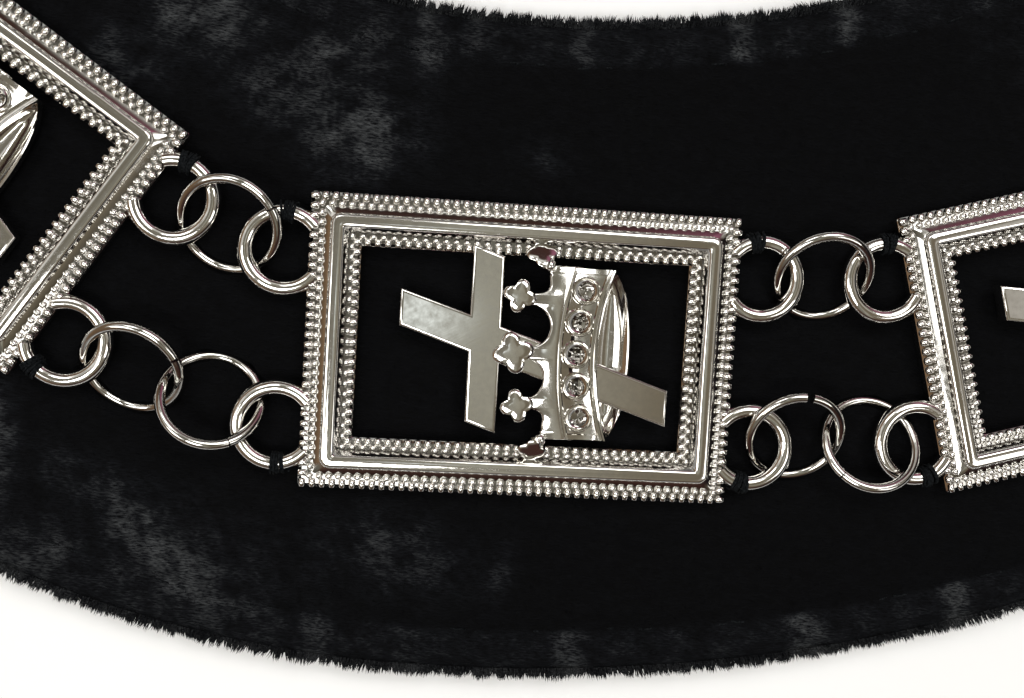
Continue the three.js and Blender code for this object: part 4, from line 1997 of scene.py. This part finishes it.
@dataclass(frozen=True)
class Room:
    """Soft room light by direction, in the front plaque's frame: right, ahead and up.

    Overhead it is olive grey, palest just right of the middle, with a small glow there. Pale walls
    stand all round it but in front, duller on the right. Lower down it is golden brown on the
    left, red-brown in the middle, black on the right, and rose above the right half of the
    picture. Plain grey closes the room at the horizon. A pair of limits says where something
    starts and where it is full, as parts of a direction of length one.
    """

    overhead: tuple = (
        (0.0, (0.20, 0.185, 0.15)), (0.40, (0.23, 0.215, 0.175)), (0.5, (0.37, 0.36, 0.30)),
        (0.62, (0.33, 0.31, 0.25)), (0.78, (0.18, 0.15, 0.105)),
    )
    overhead_right: tuple = (-0.3, 0.4)
    overhead_height: tuple = (0.52, 0.66)
    cloud_scale: float = 7.0
    cloud_limits: tuple = (0.45, 0.75)
    cloud_share: float = 0.7
    cloud_shade: tuple = (0.17, 0.15, 0.11, 1)
    glow: tuple = (0.95, 1.0, 0.97, 1)
    glow_place: tuple = (0.012, -0.03, 1.0)
    glow_reach: tuple = (0.045, 0.015)
    low: tuple = (
        (0.0, (0.25, 0.16, 0.09)), (0.25, (0.15, 0.09, 0.055)), (0.46, (0.055, 0.03, 0.025)),
        (0.65, (0.06, 0.028, 0.022)), (0.9, (0.014, 0.011, 0.011)),
    )
    low_right: tuple = (-1.0, 1.0)
    rose: tuple = (0.30, 0.11, 0.165, 1)
    rose_ahead: tuple = (0.45, 0.7)
    rose_right: tuple = (0.17, 0.32)
    wall: tuple = (0.95, 0.93, 0.88, 1)
    wall_top: tuple = (0.90, 0.84)
    wall_foot: tuple = (0.55, 0.62)
    wall_ahead: tuple = (-0.5, -0.1)
    wall_cloud: tuple = (0.62, 0.45)
    far_right: tuple = (0.35, 0.6)
    far_share: float = 0.65
    horizon: tuple = (0.40, 0.40, 0.39, 1)
    horizon_height: tuple = (0.24, 0.12)

    def sky(self, nodes: Nodes, where: Socket, right: Socket, cloud: Socket) -> Socket:
        """Light from overhead: colours from left to right, dulled by clouds, with a small glow.

        Args:
            nodes: the world's nodes.
            where: the direction.
            right: how far it points right.
            cloud: noise by direction.

        Returns:
            The colour socket.
        """
        colour = nodes.ramp(nodes.span(right, *self.overhead_right), self.overhead)
        dull = nodes.math("MULTIPLY", nodes.span(cloud, *self.cloud_limits), self.cloud_share)
        colour = nodes.blend(dull, colour, self.cloud_shade)
        distance = nodes.add("ShaderNodeVectorMath", {"operation": "DISTANCE"}, Vector=where)
        distance.inputs[1].default_value = self.glow_place
        return nodes.blend(nodes.span(distance.outputs["Value"], *self.glow_reach), colour, self.glow)

    def walls(self, nodes: Nodes, right: Socket, ahead: Socket, height: Socket, cloud: Socket) -> Socket:
        """How much of the pale walls stands in a direction.

        Args:
            nodes: the world's nodes.
            right: how far the direction points right.
            ahead: how far it points ahead.
            height: how far it points up.
            cloud: noise by direction.

        Returns:
            The value socket.
        """
        top, foot = nodes.span(height, *self.wall_top), nodes.span(height, *self.wall_foot)
        share = nodes.math("MULTIPLY", top, foot)
        share = nodes.math("MULTIPLY", share, nodes.span(ahead, *self.wall_ahead))
        share = nodes.math("MULTIPLY", share, nodes.span(cloud, *self.wall_cloud))
        dull = nodes.math("MULTIPLY", nodes.span(right, *self.far_right), self.far_share)
        return nodes.math("MULTIPLY", share, nodes.math("SUBTRACT", 1.0, dull))

    def build(self, home: Place) -> None:
        """Makes the room the scene's world.

        Args:
            home: the front plaque, whose turn the directions follow.
        """
        world = bpy.data.worlds.new("room")
        bpy.context.scene.world = world
        world.use_nodes = True
        nodes = Nodes(world.node_tree)
        generated = nodes.add("ShaderNodeTexCoord").outputs["Generated"]
        where = nodes.turned(generated, home.turn)
        split = nodes.add("ShaderNodeSeparateXYZ", Vector=where)
        right, ahead, height = (split.outputs[axis] for axis in "XYZ")
        cloud = nodes.add("ShaderNodeTexNoise", Vector=where, Scale=self.cloud_scale, Detail=1.0)
        cloud = cloud.outputs["Fac"]
        forward, aside = nodes.span(ahead, *self.rose_ahead), nodes.span(right, *self.rose_right)
        low = nodes.ramp(nodes.span(right, *self.low_right), self.low)
        low = nodes.blend(nodes.math("MULTIPLY", forward, aside), low, self.rose)
        sky = self.sky(nodes, where, right, cloud)
        colour = nodes.blend(nodes.span(height, *self.overhead_height), low, sky)
        colour = nodes.blend(self.walls(nodes, right, ahead, height, cloud), colour, self.wall)
        colour = nodes.blend(nodes.span(height, *self.horizon_height), colour, self.horizon)
        light = nodes.add("ShaderNodeBackground", Color=colour, Strength=1.0)
        nodes.add("ShaderNodeOutputWorld", Surface=light.outputs["Background"])


@dataclass
class Studio:
    """White table, room, lamps and the camera over the front plaque."""

    layout: Layout
    lens: float = 38.67
    sensor: float = 36.0
    clip: tuple = (0.005, 50.0)
    eye: tuple = (-17.0, 9.17, 160.28)
    aim: tuple = (-1.62, 0.24, 0.0)
    roll: float = math.radians(3.415)
    edge_height: float = 2.85
    table: float = 6.0
    room: Room = Room()
    lamps: tuple = (
        Lamp("overhead", (-0.17, -0.3, 0.85), (0.3, 0.3), 2.7, (1.0, 0.995, 0.98)),
        Lamp("window", (0.28, 0.42, 0.78), (0.5, 0.36), 2.9, (1.0, 1.0, 0.99)),
        Lamp("left", (-0.55, -0.15, 0.7), (0.3, 0.4), 1.6, (1.0, 0.99, 0.97)),
        Lamp("right", (0.6, -0.25, 0.7), (0.25, 0.4), 0.85, (1.0, 0.99, 0.97)),
        Lamp("corner", (-0.3, 0.5, 0.75), (0.35, 0.25), 1.0, (1.0, 1.0, 0.99)),
    )

    def camera(self) -> None:
        """Places the camera from its eye, aim and roll in the front plaque's frame."""
        home = self.layout.home
        lift = np.array([0, 0, self.edge_height])
        eye, aim = home.world(np.array([self.eye, self.aim]) + lift)
        back = (eye - aim) / np.linalg.norm(eye - aim)
        right = np.cross(home.matrix()[:, 1], back)
        right /= np.linalg.norm(right)
        top = np.cross(back, right)
        c, s = math.cos(self.roll), math.sin(self.roll)
        columns = np.stack([right * c + top * s, top * c - right * s, back], 1)
        data = bpy.data.cameras.new("camera")
        data.lens, data.sensor_width = self.lens, self.sensor
        data.clip_start, data.clip_end = self.clip
        camera = bpy.data.objects.new("camera", data)
        camera.matrix_world = Matrix.Translation(Vector(eye * MM)) @ Matrix(columns.tolist()).to_4x4()
        bpy.context.scene.collection.objects.link(camera)
        bpy.context.scene.camera = camera

    def floor(self) -> None:
        """The white table top, a plain square."""
        half = self.table / 2 / MM
        corners = np.array([[-half, -half, 0], [half, -half, 0], [half, half, 0], [-half, half, 0]], float)
        table = Shell(corners, [np.array([[0, 1, 2, 3]])]).to_object("table_top")
        table.data.materials.append(FloorFinish().material())

    def build(self) -> None:
        """Sets up the camera, table, room and lamps."""
        self.camera()
        self.floor()
        self.room.build(self.layout.home)
        for lamp in self.lamps:
            lamp.build(self.layout.home)
        bpy.context.scene.view_settings.view_transform = "Standard"


def main() -> None:
    """Builds the studio and every piece of the collar."""
    logging.basicConfig(level=logging.INFO, format="%(name)s: %(message)s")
    layout = Layout()
    Studio(layout).build()
    dresser = Dresser()
    band = VelvetBand(layout)
    band.build(dresser)
    VelvetPile(band).build(dresser)
    PlaqueCasting(layout).build(dresser)
    JumpRings(layout).build(dresser)
    Stitching(band).build(dresser)


if __name__ == "__main__":
    main()
